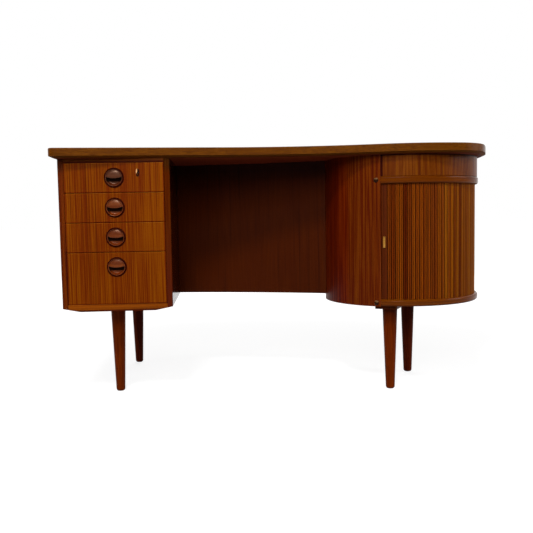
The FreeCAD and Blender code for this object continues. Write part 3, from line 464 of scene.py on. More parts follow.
PULL_TONES = ((0.056, 0.012, 0.004), (0.084, 0.022, 0.0075), (0.122, 0.036, 0.012))
PULL_TONE_REACH = 0.14
PULL_SEED = 9.5
PULL_SHARE = 0.5
PULL_STEPS = (
    ("height", PULL_MIDDLE.z - PULL_PITCH, PULL_MIDDLE.z, (1.4, 1.02, 0.45), (0.86, 0.96, 1.2)),
    ("depth", 0.002, 0.006, UNTINTED, (1.1, 0.9, 0.65)),
)
PULL_GLOSS = 0.3
PULL_SHEEN = (1.0, 0.66, 0.46, 1.0)
PULL_ROUGH = 0.3
# Painted shade: the hollow under each lid turns near black and rough
HOLLOW_DEPTH = (0.003, 0.005)
HOLLOW_HEIGHT = (-0.013, -0.0095)
HOLLOW_SHADE_TONE = (0.004, 0.0006, 0.0004, 1.0)
HOLLOW_SHADE_COVER = 0.98
HOLLOW_ROUGH = 0.95


def turned_teak(name):
    """Turned teak with fine grain; the hollow under the lid is painted near black as shade, and made
    rough.
    """
    material, graph = material_graph(name)
    vector = flat_coordinates(graph)
    grain = Grain(graph, vector, "X", PULL_SEED)
    figure = graph.weighted((grain.bands(), PULL_SHARE), (grain.streaks(), PULL_SHARE))
    colour = toned(graph, figure, PULL_TONES, PULL_TONE_REACH)
    place = graph.split(vector)
    height = place["Z"]
    depth = graph.math("SUBTRACT", place["Y"], PULL_BOX[0].y)
    colour = drifted(graph, colour, {"height": height, "depth": depth}, PULL_STEPS)
    # Painted shade in the deep hollow under the lid
    above = graph.wrapped(graph.math("SUBTRACT", height, PULL_MIDDLE.z), PULL_PITCH)
    deep = graph.span(depth, *HOLLOW_DEPTH)
    hollow = graph.math("MULTIPLY", deep, graph.span(above, *HOLLOW_HEIGHT))
    colour = graph.mix("MIX", graph.math("MULTIPLY", hollow, HOLLOW_SHADE_COVER), colour, HOLLOW_SHADE_TONE)
    roughness = graph.span(hollow, 0.0, 1.0, PULL_ROUGH, HOLLOW_ROUGH)
    inputs = {"Base Color": colour, "Roughness": roughness}
    inputs.update({"Specular IOR Level": PULL_GLOSS, "Specular Tint": PULL_SHEEN})
    finish_material(graph, inputs, graph.math("SUBTRACT", grain.fibres(), grain.pores()))
    return material


# Metal and canvas

BRASS_TONES = ((0.3, 0.13, 0.01), (0.45, 0.21, 0.025))
STEEL_TONES = ((0.24, 0.23, 0.22), (0.42, 0.41, 0.4))
PATCH_SCALE = 140.0
PATCH_DETAIL = 4.0
PATINA_RANGE = (0.36, 0.66)
DULL_ROUGHER = 0.1
WORN_SMOOTHER = 0.06
SCRATCH_SCALE = 2400.0
SCRATCH_STRETCH = (1.0, 1.0, 0.08)
METAL_BUMP = 0.12
METAL_BUMP_DEPTH = 0.0001


def worn_metal(name, tones, rough, seed, metallic=1.0):
    """Metal with a patchy patina, polished brighter here and there by use; tones are the dull and the
    polished.
    """
    material, graph = material_graph(name)
    vector = graph.stretched(flat_coordinates(graph), (1.0, 1.0, 1.0), (seed, seed, seed))
    patches = graph.noise(vector, PATCH_SCALE, PATCH_DETAIL, NOISE_ROUGHNESS)
    scratches = graph.noise(graph.stretched(vector, SCRATCH_STRETCH), SCRATCH_SCALE)
    colour = graph.ramp(patches, tuple(zip(PATINA_RANGE, tones)))
    roughness = graph.span(patches, *USUAL_NOISE, rough + DULL_ROUGHER, rough - WORN_SMOOTHER)
    inputs = {"Base Color": colour, "Roughness": roughness, "Metallic": metallic}
    finish_material(graph, inputs, scratches, METAL_BUMP, METAL_BUMP_DEPTH)
    return material


# Dome tones run from painted shade, near black, through the bronze's brown to a painted highlight
DOME_SHADE_TO_HIGHLIGHT_TONES = (
    (0.4, (0.008, 0.001, 0.0005)),
    (0.7, (0.045, 0.018, 0.004)),
    (1.0, (0.16, 0.08, 0.035)),
)
DOME_LIGHT_RISE = (-0.6, 0.7)
DOME_UNEVEN = 0.08
DOME_ROUGH = 0.3
DOME_GLOSS = 0.16
DOME_SHEEN = (1.0, 0.5, 0.3, 1.0)


def dome_bronze(name):
    """Dark bronze domes with painted light: a painted highlight on faces that look up, painted shade,
    near black, on faces that look down.
    """
    material, graph = material_graph(name)
    patches = graph.noise(flat_coordinates(graph), PATCH_SCALE, PATCH_DETAIL, NOISE_ROUGHNESS)
    uneven = graph.span(patches, *USUAL_NOISE, -DOME_UNEVEN, DOME_UNEVEN)
    # Painted light: lighter on faces that look up, darker on those that look down
    painted_light_share = graph.math("ADD", facing_up(graph), uneven)
    colour = graph.ramp(graph.span(painted_light_share, *DOME_LIGHT_RISE), DOME_SHADE_TO_HIGHLIGHT_TONES)
    inputs = {"Base Color": colour, "Roughness": DOME_ROUGH}
    inputs.update({"Specular IOR Level": DOME_GLOSS, "Specular Tint": DOME_SHEEN})
    finish_material(graph, inputs)
    return material


# Keyhole plate: tones from a painted highlight of bright brass, through painted shade, to near black
PLATE_HIGHLIGHT_TO_SHADE_TONES = (
    (0.24, (0.8, 0.41, 0.15)),
    (0.4, (0.1, 0.03, 0.01)),
    (0.54, (0.008, 0.001, 0.001)),
)
PLATE_FOOT_SHADE_HEIGHTS = (0.004, 0.012)
PLATE_FOOT_SHADE_SHARE = 0.6
PLATE_PATCH_SCALE = 700.0
PLATE_PATCH_DETAIL = 3.0
PLATE_UNEVEN = 0.1
PLATE_HIGHLIGHT_RANGE = (0.24, 0.44)
PLATE_METALLIC = 0.4
PLATE_SHADE_ROUGH = 0.6
PLATE_HIGHLIGHT_ROUGH = 0.3
PLATE_GLOSS = 0.1
PLATE_SHEEN = (1.0, 0.75, 0.5, 1.0)


def keyhole_brass(name):
    """Brass plate with a painted highlight at its upper left, and painted shade, near black, to its
    right and along its foot.
    """
    material, graph = material_graph(name)
    vector = flat_coordinates(graph)
    lower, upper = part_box("lock_escutcheon")
    place = graph.split(vector)
    patches = graph.noise(vector, PLATE_PATCH_SCALE, PLATE_PATCH_DETAIL, NOISE_ROUGHNESS)
    # Painted shade grows towards the right and the foot; where there is least of it, the plate is bright
    # and metallic, a painted highlight
    foot_low, foot_high = [lower.z + rise for rise in PLATE_FOOT_SHADE_HEIGHTS]
    foot = graph.span(place["Z"], foot_low, foot_high, PLATE_FOOT_SHADE_SHARE, 0.0)
    painted_shade_share = graph.math("ADD", graph.span(place["X"], lower.x, upper.x), foot)
    uneven = graph.span(patches, *USUAL_NOISE, -PLATE_UNEVEN, PLATE_UNEVEN)
    painted_shade_share = graph.math("ADD", painted_shade_share, uneven)
    bright = graph.span(painted_shade_share, *PLATE_HIGHLIGHT_RANGE, 1.0, 0.0)
    roughness = graph.span(bright, 0.0, 1.0, PLATE_SHADE_ROUGH, PLATE_HIGHLIGHT_ROUGH)
    inputs = {"Base Color": graph.ramp(painted_shade_share, PLATE_HIGHLIGHT_TO_SHADE_TONES), "Roughness": roughness}
    inputs["Metallic"] = graph.math("MULTIPLY", bright, PLATE_METALLIC)
    inputs.update({"Specular IOR Level": PLATE_GLOSS, "Specular Tint": PLATE_SHEEN})
    finish_material(graph, inputs, patches, METAL_BUMP, METAL_BUMP_DEPTH)
    return material


WEAVE_SCALE = 190.0
WEAVE_SHARE = 0.6
FUZZ_SCALE = 60.0
FUZZ_DETAIL = 3.0
FUZZ_SHARE = 0.4
CANVAS_TONES = ((0.15, (0.2, 0.15, 0.09)), (0.75, (0.46, 0.38, 0.25)))
CANVAS_ROUGH = 0.9
CANVAS_GLOSS = 0.15
CANVAS_BUMP = 0.5
CANVAS_BUMP_DEPTH = 0.0004


def woven_canvas(name):
    """Plain canvas, with threads up and down and round the cabinet."""
    material, graph = material_graph(name)
    vector = drum_coordinates(graph)[0]
    thread = {"Vector": vector, "Scale": WEAVE_SCALE}
    weft = graph.add("TexWave", thread, bands_direction="Z").outputs["Fac"]
    warp = graph.add("TexWave", thread, bands_direction="X").outputs["Fac"]
    weave = graph.math("MULTIPLY", weft, warp)
    fuzz = graph.noise(vector, FUZZ_SCALE, FUZZ_DETAIL)
    tone = graph.weighted((weave, WEAVE_SHARE), (fuzz, FUZZ_SHARE))
    inputs = {"Base Color": graph.ramp(tone, CANVAS_TONES), "Roughness": CANVAS_ROUGH}
    inputs["Specular IOR Level"] = CANVAS_GLOSS
    finish_material(graph, inputs, weave, CANVAS_BUMP, CANVAS_BUMP_DEPTH)
    return material


# Tones of the teak pieces: the dark, middle and pale streaks

DRAWER_TONES = ((0.108, 0.0128, 0.0), (0.152, 0.0272, 0.0001), (0.196, 0.0465, 0.0003))
STILE_TONES = ((0.066, 0.008, 0.0), (0.088, 0.0135, 0.0003), (0.112, 0.021, 0.001))
LIPPING_TONES = ((0.078, 0.019, 0.0008), (0.106, 0.03, 0.0015), (0.135, 0.042, 0.003))
TOP_TONES = ((0.11, 0.028, 0.002), (0.175, 0.052, 0.006), (0.24, 0.085, 0.014))
CARCASS_TONES = ((0.08, 0.011, 0.0), (0.13, 0.024, 0.0005), (0.18, 0.042, 0.001))
FRIEZE_TONES = ((0.092, 0.0155, 0.0007), (0.128, 0.0285, 0.0012), (0.158, 0.041, 0.002))
PANEL_TONES = ((0.075, 0.007, 0.0), (0.11, 0.0165, 0.0003), (0.145, 0.03, 0.001))
MODESTY_TONES = ((0.037, 0.0044, 0.0), (0.048, 0.0066, 0.0001), (0.061, 0.01, 0.0002))
BASE_TONES = ((0.165, 0.03, 0.001), (0.21, 0.044, 0.001), (0.25, 0.06, 0.002))
FRONT_RAIL_TONES = ((0.074, 0.012, 0.0005), (0.098, 0.02, 0.001), (0.124, 0.031, 0.002))
RAIL_TONES = ((0.086, 0.016, 0.0003), (0.114, 0.024, 0.0005), (0.137, 0.033, 0.0008))
LEG_TONES = ((0.082, 0.0088, 0.0), (0.11, 0.0135, 0.0001), (0.138, 0.02, 0.0003))
RIM_SHADE_TONES = ((0.015, 0.001, 0.0002), (0.022, 0.0016, 0.0004), (0.03, 0.003, 0.0008))
LINING_TONES = ((0.42, 0.25, 0.12), (0.55, 0.36, 0.19), (0.64, 0.45, 0.27))
LEAD_TONES = ((0.058, 0.008, 0.0006), (0.073, 0.011, 0.0012), (0.09, 0.016, 0.0016))

# Tone steps: a measure, two places on it, and the gains on the colour at those places and beyond.
# Depth and height are the desk's Y and Z, turn is the angle about the round cabinet's axis, and
# east is the distance to the right of that axis.

# The pedestal's left side, darker and redder at its front edge, with painted shade at its top under the
# desktop; its inner side, with painted shade under the desktop and behind its front edge, and redder
# towards its foot; and painted shade on the belly of its base
EDGE_BAND = ("depth", PEDESTAL_FRONT + 0.001, PEDESTAL_FRONT + 0.0025, (0.87, 0.68, 0.3), UNTINTED)
LEFT_SIDE_TOP_SHADE = ("height", UNDERSIDE - 0.045, UNDERSIDE - 0.02, UNTINTED, (0.6, 0.66, 2.0))
INNER_TOP_SHADE = ("height", UNDERSIDE - 0.045, UNDERSIDE - 0.02, (0.85, 0.85, 0.5), (0.52, 0.9, 4.0))
INNER_DEPTH_SHADE = ("depth", PEDESTAL_FRONT + 0.004, PEDESTAL_FRONT + 0.03, UNTINTED, (0.5, 0.4, 0.5))
INNER_FOOT = ("height", BASE_LOW + 0.05, BASE_LOW + 0.25, (0.92, 0.55, 0.3), UNTINTED)
BASE_SHADE = ("height", BASE_LOW + 0.003, BASE_LOW + 0.0075, (0.25, 0.12, 0.05), UNTINTED)

# Painted shade from the gap along the foot of the front rail, and painted shade on the bevel and the
# underside of the top, which have little polish
RAIL_GAP_SHADE = ("height", RAIL_LOW + 0.0042, RAIL_LOW + 0.005, (0.42, 0.2, 0.3), UNTINTED)
UNDERSIDE_SHADE = ("height", UNDERSIDE + 0.0004, UNDERSIDE + 0.0014, (0.63, 0.26, 0.2), UNTINTED)

# A dark leaf of veneer on the round side panel; painted shade that deepens towards the front stile's
# edge, and a painted highlight along that edge
LEAF_JOINT = ("east", -0.87 * CURTAIN_RADIUS, -0.79 * CURTAIN_RADIUS, (0.88, 0.45, 0.35), UNTINTED)
STILE_SHADE = ("turn", STILE_EDGE - 0.22, STILE_EDGE - 0.06, UNTINTED, (0.82, 0.66, 0.4))
STILE_EDGE_HIGHLIGHT = ("turn", STILE_EDGE - 0.008, STILE_EDGE - 0.004, UNTINTED, (1.55, 2.0, 16.0))

# Painted shade in the frieze's corners, beside the stile and under the top
STILE_CORNER_SHADE = ("turn", STILE_EDGE + 0.026, STILE_EDGE + 0.033, (0.2, 0.06, 0.4), UNTINTED)
FRIEZE_TOP_SHADE = ("height", FRIEZE_TOP - 0.005, FRIEZE_TOP - 0.003, UNTINTED, (0.2, 0.12, 0.3))

# Painted light at the tops of the left legs and painted shade at the tops of the right ones, painted
# shade on the back legs, and painted shade along the top of the back panel under the desktop
LEFT_LEG_TOP_LIGHT = ("height", LEG_HIGH - 0.1, LEG_HIGH - 0.035, UNTINTED, (1.5, 1.6, 1.0))
RIGHT_LEG_TOP_SHADE = ("height", LEG_HIGH - 0.1, LEG_HIGH - 0.035, (1.08, 1.08, 1.0), (0.84, 0.8, 0.8))
BACK_LEG_SHADE = ("depth", DRUM_AXIS.y - 0.02, DRUM_AXIS.y + 0.02, UNTINTED, (0.7, 0.58, 0.6))
MODESTY_TOP_SHADE = ("height", UNDERSIDE - 0.06, UNDERSIDE - 0.025, UNTINTED, (0.4, 0.3, 0.5))


# Finishes of the desk's pieces

drawer_teak = teak("drawer_teak", DRAWER_TONES, seed=0.31, gloss=0.03, swing=1.5, painted_edge_light=True)
front_rail_teak = teak("front_rail_teak", FRONT_RAIL_TONES, axis="X", seed=3.6, tone_steps=[RAIL_GAP_SHADE])
stile_teak = teak("stile_teak", STILE_TONES, seed=1.7, swing=1.3)
inner_side_teak = teak("inner_side_teak", STILE_TONES, seed=1.7, gloss=0.04, rough=0.15, swing=1.3,
                       tone_steps=[INNER_TOP_SHADE, INNER_FOOT, INNER_DEPTH_SHADE])
carcass_teak = teak("carcass_teak", CARCASS_TONES, seed=3.3, arches=0.25)
side_teak = teak("side_teak", CARCASS_TONES, seed=5.9, swing=1.3, tone_steps=[EDGE_BAND, LEFT_SIDE_TOP_SHADE])
lipping_teak = teak("lipping_teak", LIPPING_TONES, axis="X", seed=2.2, rough=0.28,
                    tone_steps=[UNDERSIDE_SHADE])
top_teak = teak("top_teak", TOP_TONES, axis="X", seed=0.9, arches=0.28, gloss=0.06, rough=0.5,
                tone_steps=[UNDERSIDE_SHADE])
base_teak = teak("base_teak", BASE_TONES, axis="X", seed=1.1, tone_steps=[BASE_SHADE])
rail_teak = teak("rail_teak", RAIL_TONES, axis="X", seed=4.4, gloss=0.05, rough=0.22,
                 round_cabinet=True)
frieze_teak = teak("frieze_teak", FRIEZE_TONES, seed=5.2, arches=0.15, gloss=0.05, rough=0.32,
                   swing=1.5, round_cabinet=True, tone_steps=[STILE_CORNER_SHADE, FRIEZE_TOP_SHADE])
panel_teak = teak("panel_teak", PANEL_TONES, seed=6.1, swing=2.4, round_cabinet=True,
                  tone_steps=[LEAF_JOINT, STILE_SHADE, STILE_EDGE_HIGHLIGHT])
lead_teak = teak("lead_teak", LEAD_TONES, seed=4.9, round_cabinet=True)
modesty_teak = teak("modesty_teak", MODESTY_TONES, seed=7.4, arches=0.12, swing=0.55,
                    tone_steps=[MODESTY_TOP_SHADE])
left_leg_teak = teak("left_leg_teak", LEG_TONES, seed=8.8, gloss=0.03,
                     tone_steps=[LEFT_LEG_TOP_LIGHT, BACK_LEG_SHADE])
right_leg_teak = teak("right_leg_teak", LEG_TONES, seed=8.8, gloss=0.03,
                      tone_steps=[RIGHT_LEG_TOP_SHADE, BACK_LEG_SHADE])
pull_teak = turned_teak("pull_teak")
# Near-black teak that paints the shade on the outer round of the pulls' rims
rim_shade_teak = teak("rim_shade_teak", RIM_SHADE_TONES, axis="X", seed=9.1, gloss=0.02, rough=0.7)
lining = teak("pale_lining", LINING_TONES, axis="Y", seed=2.6, gloss=0.25, rough=0.55)
drum_lining = teak("drum_lining", LINING_TONES, seed=3.9, gloss=0.25, rough=0.55, round_cabinet=True)
curtain_teak = slat_teak("curtain_teak")
brass = worn_metal("aged_brass", BRASS_TONES, rough=0.36, seed=0.4, metallic=0.4)
plate_brass = keyhole_brass("keyhole_brass")
bronze = dome_bronze("dark_bronze")
steel = worn_metal("lock_steel", STEEL_TONES, rough=0.4, seed=2.4)
canvas = woven_canvas("curtain_canvas")

FINISH = {
    "desktop_panel": top_teak,
    "desktop_lipping": lipping_teak,
    "pedestal_left_side": side_teak,
    "pedestal_right_side": inner_side_teak,
    "pedestal_front_rail": front_rail_teak,
    "pedestal_rear_rail": stile_teak,
    "pedestal_base": base_teak,
    "pedestal_back": carcass_teak,
    "drawer_runners": lining,
    "lock_escutcheon": plate_brass,
    "lock_case": steel,
    "lock_bolt": steel,
    "modesty_panel": modesty_teak,
    "modesty_cleat": stile_teak,
    "drum_base": rail_teak,
    "drum_upper_board": rail_teak,
    "drum_frieze": frieze_teak,
    "drum_side_panel": panel_teak,
    "drum_back_stile": panel_teak,
    "drum_front_stile": panel_teak,
    "drum_liner": drum_lining,
    "drum_shelf": lining,
    "shelf_pins": brass,
    "drum_bolts": bronze,
    "curtain_slats": curtain_teak,
    "curtain_canvas": canvas,
    "curtain_lead_stile": lead_teak,
    "curtain_grip": brass,
    "left_front_leg": left_leg_teak,
    "left_back_leg": left_leg_teak,
    "right_front_leg": right_leg_teak,
    "right_back_leg": right_leg_teak,
    "leg_bolts": steel,
    "leg_batten": stile_teak,
}
for number in DRAWERS:
    FINISH[f"drawer_{number}_front"] = drawer_teak
    FINISH[f"drawer_{number}_pull"] = pull_teak
    for board in ("left_side", "right_side", "back", "bottom"):
        FINISH[f"drawer_{number}_{board}"] = lining

for node, finish in FINISH.items():
    slots = NODES[node].data.materials
    slots.clear()
    slots.append(finish)


# Eased edges on the joinery

SHARP_ANGLE = math.radians(40)
WELD_REACH = 0.00001
EASE_SEGMENTS = 2
EASED = {
    "pedestal_left_side": 0.0012,
    "pedestal_right_side": 0.0012,
    "pedestal_base": 0.0008,
    "pedestal_front_rail": 0.0005,
    "modesty_panel": 0.0008,
    "leg_batten": 0.001,
}
EASED.update({f"drawer_{number}_front": 0.0009 for number in DRAWERS})


def ease_edges(node, width):
    piece = NODES[node]
    weld = piece.modifiers.new("Weld", "WELD")
    weld.merge_threshold = WELD_REACH
    bevel = piece.modifiers.new("Eased edges", "BEVEL")
    bevel.width = width
    bevel.segments = EASE_SEGMENTS
    bevel.limit_method = "ANGLE"
    bevel.angle_limit = SHARP_ANGLE
    piece.modifiers.new("Weighted normals", "WEIGHTED_NORMAL")


for node, width in EASED.items():
    ease_edges(node, width)


# New pieces

def add_piece(name, form, finishes, body):
    """Turns a closed form into a piece that moves with a body."""
    bmesh.ops.recalc_face_normals(form, faces=form.faces)
    for face in form.faces:
        face.smooth = True
    for edge in form.edges:
        edge.smooth = edge.calc_face_angle(0.0) < SHARP_ANGLE
    mesh = bpy.data.meshes.new(name)
    form.to_mesh(mesh)
    form.free()
    for finish in finishes:
        mesh.materials.append(finish)
    piece = bpy.data.objects.new(name, mesh)
    bpy.context.scene.collection.objects.link(piece)
    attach(piece, body)
    return piece


# Turned pulls: an outer rim whose outer round is painted near black as shade, a bowl, and a crowned lid
# over the bowl's upper half

TURN_STEPS = 48
ARC_STEPS = 6
QUARTER = math.pi / 2
PULL_DEPTH = PULL_BOX[1].y - PULL_BOX[0].y
RIM_PROUD = 0.004
RIM_ROUND = 0.0038
RIM_SPREAD = 1.2
RIM_INNER_ROUND = 0.0013
CUP_RADIUS = PULL_RADIUS - 0.0035
BOWL_RADIUS = CUP_RADIUS - 0.0025
BOWL_DEPTH = 0.015
BOWL_ROUND = 0.008
LID_RADIUS = BOWL_RADIUS + 0.0004
LID_EDGE_DEPTH = 0.0031
LID_BACK = 0.0055
LID_CROWN = 0.0028
LID_CROWN_POWER = 4
LID_DROP = 0.0018
LID_RISE = 0.0042
LID_LIP = 0.0012
LID_TIP = math.radians(82)
LID_COLUMNS = 28
LID_ROWS = 10
LID_ROW_POWER = 1.5


def rounding(centre, radius, start, end):
    """Points of a profile's round corner, as distance from the axis and depth."""
    turns = [start + (end - start) * step / ARC_STEPS for step in range(ARC_STEPS + 1)]
    return [(centre[0] + radius * math.cos(turn), centre[1] - radius * math.sin(turn))
            for turn in turns]


def turned_ring(form, reach, depth):
    """Points round the pull's axis, at one distance from it and one depth."""
    turns = [2 * math.pi * step / TURN_STEPS for step in range(TURN_STEPS)]
    return [form.verts.new((reach * math.cos(turn), depth, reach * math.sin(turn))) for turn in turns]


def turned_cup(form):
    """Revolves the cup's profile; the rim's outer round takes the second finish, a near-black teak that
    paints shade on it.
    """
    flange = [(CUP_RADIUS, PULL_DEPTH), (CUP_RADIUS, RIM_PROUD), (PULL_RADIUS, RIM_PROUD)]
    outer = rounding((PULL_RADIUS - RIM_ROUND, RIM_ROUND), RIM_ROUND, 0.0, QUARTER)
    outer = [(PULL_RADIUS - (PULL_RADIUS - reach) * RIM_SPREAD, depth) for reach, depth in outer]
    inner_centre = (BOWL_RADIUS + RIM_INNER_ROUND, RIM_INNER_ROUND)
    inner = rounding(inner_centre, RIM_INNER_ROUND, QUARTER, 2 * QUARTER)
    bowl_centre = (BOWL_RADIUS - BOWL_ROUND, BOWL_DEPTH - BOWL_ROUND)
    bowl = rounding(bowl_centre, BOWL_ROUND, 0.0, -QUARTER)
    rings = [turned_ring(form, reach, depth) for reach, depth in flange + outer + inner + bowl]
    first_dark = len(flange) - 1
    last_dark = len(flange) + ARC_STEPS
    for index, (near, far) in enumerate(zip(rings, rings[1:])):
        for step in range(TURN_STEPS):
            after = (step + 1) % TURN_STEPS
            face = form.faces.new((near[step], near[after], far[after], far[step]))
            face.material_index = int(first_dark <= index < last_dark)
    form.faces.new(rings[0])
    form.faces.new(rings[-1])


def border(grid):
    """The points round a grid of columns, in order."""
    low_and_right = [column[0] for column in grid] + grid[-1][1:]
    return low_and_right + [column[-1] for column in reversed(grid[:-1])] + grid[0][-2:0:-1]


def crowned_lid(form):
    """Half disc that swells forward, with a rolled lower lip that dips in the middle."""
    front, back = [], []
    for column in range(LID_COLUMNS + 1):
        turn = LID_TIP * (2 * column / LID_COLUMNS - 1)
        x = LID_RADIUS * math.sin(turn)
        high = LID_RADIUS * math.cos(turn)
        low = LID_RISE * (x / LID_RADIUS) ** 2 - LID_DROP
        front.append([])
        back.append([])
        for row in range(LID_ROWS + 1):
            z = low + (high - low) * (row / LID_ROWS) ** LID_ROW_POWER
            swell = LID_CROWN * (1 - (math.hypot(x, z) / LID_RADIUS) ** LID_CROWN_POWER)
            short = max(0.0, LID_LIP - (z - low))
            roll = LID_LIP - math.sqrt(LID_LIP ** 2 - short ** 2)
            front[-1].append(form.verts.new((x, LID_EDGE_DEPTH - swell + roll, z)))
            back[-1].append(form.verts.new((x, LID_BACK, z)))
    for grid in (front, back):
        for left, right in zip(grid, grid[1:]):
            for row in range(LID_ROWS):
                form.faces.new((left[row], right[row], right[row + 1], left[row + 1]))
    rim = border(front)
    behind = border(back)
    for step in range(len(rim)):
        after = (step + 1) % len(rim)
        form.faces.new((rim[step], rim[after], behind[after], behind[step]))


def turned_pull(number):
    form = bmesh.new()
    turned_cup(form)
    crowned_lid(form)
    low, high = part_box(f"drawer_{number}_pull")
    form.transform(Matrix.Translation(((low.x + high.x) / 2, low.y, (low.z + high.z) / 2)))
    name = f"drawer_{number}_turned_pull"
    pull = add_piece(name, form, (pull_teak, rim_shade_teak), f"drawer_{number}")
    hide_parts(f"drawer_{number}_pull")


for number in DRAWERS:
    turned_pull(number)


# Slotted screws that hold the lock, the leg strip and the cleat; the turns are in degrees

SCREW_SIDES = 14
SCREW_RISE = 0.0012
SCREW_SLOT = 0.16
SCREW_BASE = 0.25
SCREW_PROFILE = ((1.0, SCREW_BASE), (0.97, 0.5), (0.8, 0.85), (0.5, 1.0))
LOCK_SCREW_RADIUS = 0.0032
LOCK_SCREW_INSET = 0.006
LOCK_SCREW_TURNS = (35, 85)
BOARD_SCREW_RADIUS = 0.0042
BATTEN_SCREW_REACHES = (0.05, 0.19, 0.3, 0.345)
BATTEN_SCREW_TURNS = (20, 85, 150, 215)
CLEAT_SCREW_SHARES = (0.12, 0.5, 0.88)
CLEAT_SCREW_TURNS = (50, 90, 130)
CLEAT_CORNERS = 8
BACKWARDS = (0, 1, 0)
DOWNWARDS = (0, 0, -1)


def screw_head(radius):
    """A domed head in two halves, with the slot between them, on a thin disc; its axis is +Z."""
    head = bmesh.new()
    base = SCREW_BASE * SCREW_RISE
    bmesh.ops.create_cone(head, cap_ends=True, segments=2 * SCREW_SIDES, radius1=radius, radius2=radius,
                          depth=base, matrix=Matrix.Translation((0, 0, base / 2)))
    for side in (1, -1):
        rings = []
        for share, rise in SCREW_PROFILE:
            reach = share * radius
            first = math.asin(SCREW_SLOT * radius / reach)
            sweep = math.pi - 2 * first
            turns = [first + sweep * step / SCREW_SIDES for step in range(SCREW_SIDES + 1)]
            rings.append([head.verts.new((reach * math.cos(turn), side * reach * math.sin(turn),
                                          rise * SCREW_RISE)) for turn in turns])
        for low, high in zip(rings, rings[1:]):
            for index in range(SCREW_SIDES):
                head.faces.new((low[index], low[index + 1], high[index + 1], high[index]))
        head.faces.new(rings[0])
        head.faces.new(rings[-1])
        head.faces.new([ring[0] for ring in rings] + [ring[-1] for ring in reversed(rings)])
    return head


def slotted_screw(name, spot, outward, turn, radius, body):
    head = screw_head(radius)
    facing = Vector(outward).to_track_quat("Z", "Y").to_matrix().to_4x4()
    head.transform(Matrix.Translation(spot) @ facing @ Matrix.Rotation(math.radians(turn), 4, "Z"))
    add_piece(name, head, (steel,), body)


def box_middle(node):
    low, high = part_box(node)
    return (low + high) / 2


def lock_screws():
    """Screws on the back of the lock case, near its lower corners."""
    low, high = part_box("lock_case")
    places = (low.x + LOCK_SCREW_INSET, high.x - LOCK_SCREW_INSET)
    for index, (x, turn) in enumerate(zip(places, LOCK_SCREW_TURNS), 1):
        spot = (x, high.y, low.z + LOCK_SCREW_INSET)
        slotted_screw(f"lock_screw_{index}", spot, BACKWARDS, turn, LOCK_SCREW_RADIUS, "drawer_1")


def batten_screws():
    """Screws under the leg strip, along the line from the front leg to the back one."""
    front = box_middle("right_front_leg")
    along = (box_middle("right_back_leg") - front).normalized()
    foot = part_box("leg_batten")[0].z
    for index, (reach, turn) in enumerate(zip(BATTEN_SCREW_REACHES, BATTEN_SCREW_TURNS), 1):
        place = front + along * reach
        spot = (place.x, place.y, foot)
        slotted_screw(f"batten_screw_{index}", spot, DOWNWARDS, turn, BOARD_SCREW_RADIUS, "desk")


def cleat_screws():
    """Screws under the curved cleat, in the middle of its corners nearby."""
    low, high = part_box("modesty_cleat")
    corners = [vertex.co for vertex in NODES["modesty_cleat"].data.vertices]
    for index, (share, turn) in enumerate(zip(CLEAT_SCREW_SHARES, CLEAT_SCREW_TURNS), 1):
        x = low.x + share * (high.x - low.x)
        near = sorted(corners, key=lambda corner: abs(corner.x - x))[:CLEAT_CORNERS]
        y = sum(corner.y for corner in near) / len(near)
        slotted_screw(f"cleat_screw_{index}", (x, y, low.z), DOWNWARDS, turn, BOARD_SCREW_RADIUS, "desk")


lock_screws()
batten_screws()
cleat_screws()


# Stage

FLOOR_REACH = 30.0
FLOOR_GREY = (0.28, 0.28, 0.28, 1.0)
FLOOR_GLOW = 0.8
SHADED_REACH = 1.2
WHITE_REACH = 2.5 * SHADED_REACH
AMBIENT = 0.03
BEHIND = (-0.1, 0.35)
FRONT_MIRRORED = 0.03
DESK_MIDDLE = (0.0, 0.0, 0.45)


def mirrored_ray(graph, path):
    """1 for rays that a surface mirrors or lets through."""
    return graph.math("MAXIMUM", path.outputs["Is Glossy Ray"], path.outputs["Is Transmission Ray"])


def studio_floor():
    """A floor that glows white to the camera, a little less near the desk, where shadows show."""
    mesh = bpy.data.meshes.new("studio_floor")
    signs = ((-1, -1), (1, -1), (1, 1), (-1, 1))
    mesh.from_pydata([(x * FLOOR_REACH, y * FLOOR_REACH, 0.0) for x, y in signs], [], [(0, 1, 2, 3)])
    floor = bpy.data.objects.new("studio_floor", mesh)
    bpy.context.scene.collection.objects.link(floor)
    material, graph = material_graph("studio_floor")
    path = graph.add("LightPath")
    diffuse = graph.add("BsdfDiffuse", {"Color": FLOOR_GREY})
    distance = graph.add("VectorMath", {0: flat_coordinates(graph)}, operation="LENGTH").outputs["Value"]
    white = graph.span(distance, SHADED_REACH, WHITE_REACH, FLOOR_GLOW, 1.0)
    seen = graph.math("MAXIMUM", path.outputs["Is Camera Ray"], mirrored_ray(graph, path))
    glow = graph.add("Emission", {"Strength": graph.math("MULTIPLY", seen, white)})
    both = graph.add("AddShader", {0: diffuse.outputs[0], 1: glow.outputs[0]})
    graph.add("OutputMaterial", {"Surface": both.outputs[0]})
    mesh.materials.append(material)


def studio_world():
    """White where the camera looks, mirrored white behind the desk, dim ambient light elsewhere."""
    world = bpy.data.worlds.new("studio")
    bpy.context.scene.world = world
    world.use_nodes = True
    graph = Graph(world.node_tree)
    path = graph.add("LightPath")
    direction = graph.split(graph.add("TexCoord").outputs["Generated"])
    behind = graph.span(direction["Y"], *BEHIND, FRONT_MIRRORED, 1.0)
    level = graph.span(mirrored_ray(graph, path), 0.0, 1.0, AMBIENT, behind)
    level = graph.math("MAXIMUM", level, path.outputs["Is Camera Ray"])
    background = graph.add("Background", {"Color": (1.0, 1.0, 1.0, 1.0), "Strength": level})
    graph.add("OutputWorld", {"Surface": background.outputs[0]})


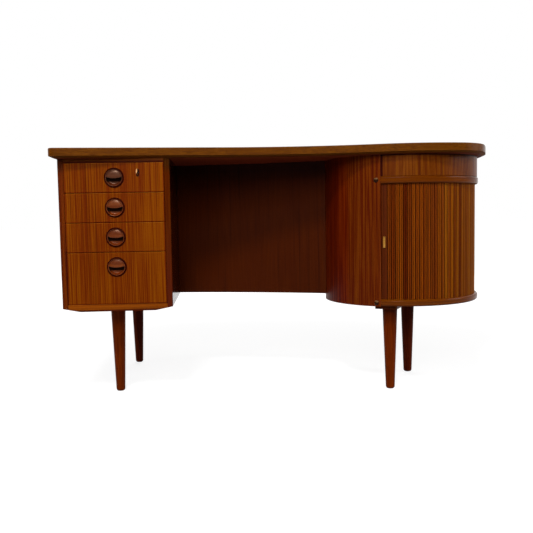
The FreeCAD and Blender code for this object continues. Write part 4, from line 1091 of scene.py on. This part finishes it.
def softbox(name, place, size, power, aim=DESK_MIDDLE, mirrored=False, lights=True):
    """Area light in watts; one that doesn't light is there only to be mirrored."""
    light = bpy.data.lights.new(name, "AREA")
    light.shape = "RECTANGLE"
    light.size, light.size_y = size
    light.energy = power
    lamp = bpy.data.objects.new(name, light)
    bpy.context.scene.collection.objects.link(lamp)
    lamp.location = place
    lamp.rotation_euler = (Vector(aim) - Vector(place)).to_track_quat("-Z", "Y").to_euler()
    lamp.visible_glossy = mirrored
    lamp.visible_diffuse = lights


# Camera at the photograph's viewpoint

IMAGE_SIDE = 533
FOCAL_PIXELS = 695.35
SENSOR = 36.0
CAMERA_PLACE = (-0.1762, -2.2986, 0.53625)
CAMERA_YAW = math.radians(3.569)
CAMERA_PITCH = math.radians(4.307)
CAMERA_ROLL = math.radians(1.025)


def photo_camera():
    lens = bpy.data.cameras.new("photo_camera")
    lens.sensor_width = SENSOR
    lens.lens = SENSOR * FOCAL_PIXELS / IMAGE_SIDE
    camera = bpy.data.objects.new("photo_camera", lens)
    bpy.context.scene.collection.objects.link(camera)
    heading = Matrix.Rotation(-CAMERA_YAW, 4, "Z")
    tilt = Matrix.Rotation(math.pi / 2 - CAMERA_PITCH, 4, "X")
    roll = Matrix.Rotation(-CAMERA_ROLL, 4, "Z")
    camera.matrix_world = Matrix.Translation(CAMERA_PLACE) @ heading @ tilt @ roll
    bpy.context.scene.camera = camera


studio_floor()
studio_world()
softbox("front_softbox", (-0.4, -3.3, 1.95), size=(3.4, 1.2), power=80.0)
softbox("key_softbox", (-0.7, -2.7, 3.1), size=(0.55, 0.45), power=78.0)
softbox("gleam_softbox", (-0.45, -2.7, 2.2), size=(0.5, 0.4), power=42.0, mirrored=True, lights=False)
softbox("right_softbox", (3.3, -0.7, 1.7), size=(1.6, 1.4), power=55.0, aim=(0.4, -0.1, 0.45),
        mirrored=True)
softbox("left_softbox", (-3.3, -0.5, 1.7), size=(1.6, 1.4), power=28.0, aim=(-0.6, 0.0, 0.45))
softbox("rear_softbox", (0.0, 3.6, 1.8), size=(3.0, 1.4), power=90.0)
photo_camera()
bpy.context.scene.view_settings.view_transform = "Standard"
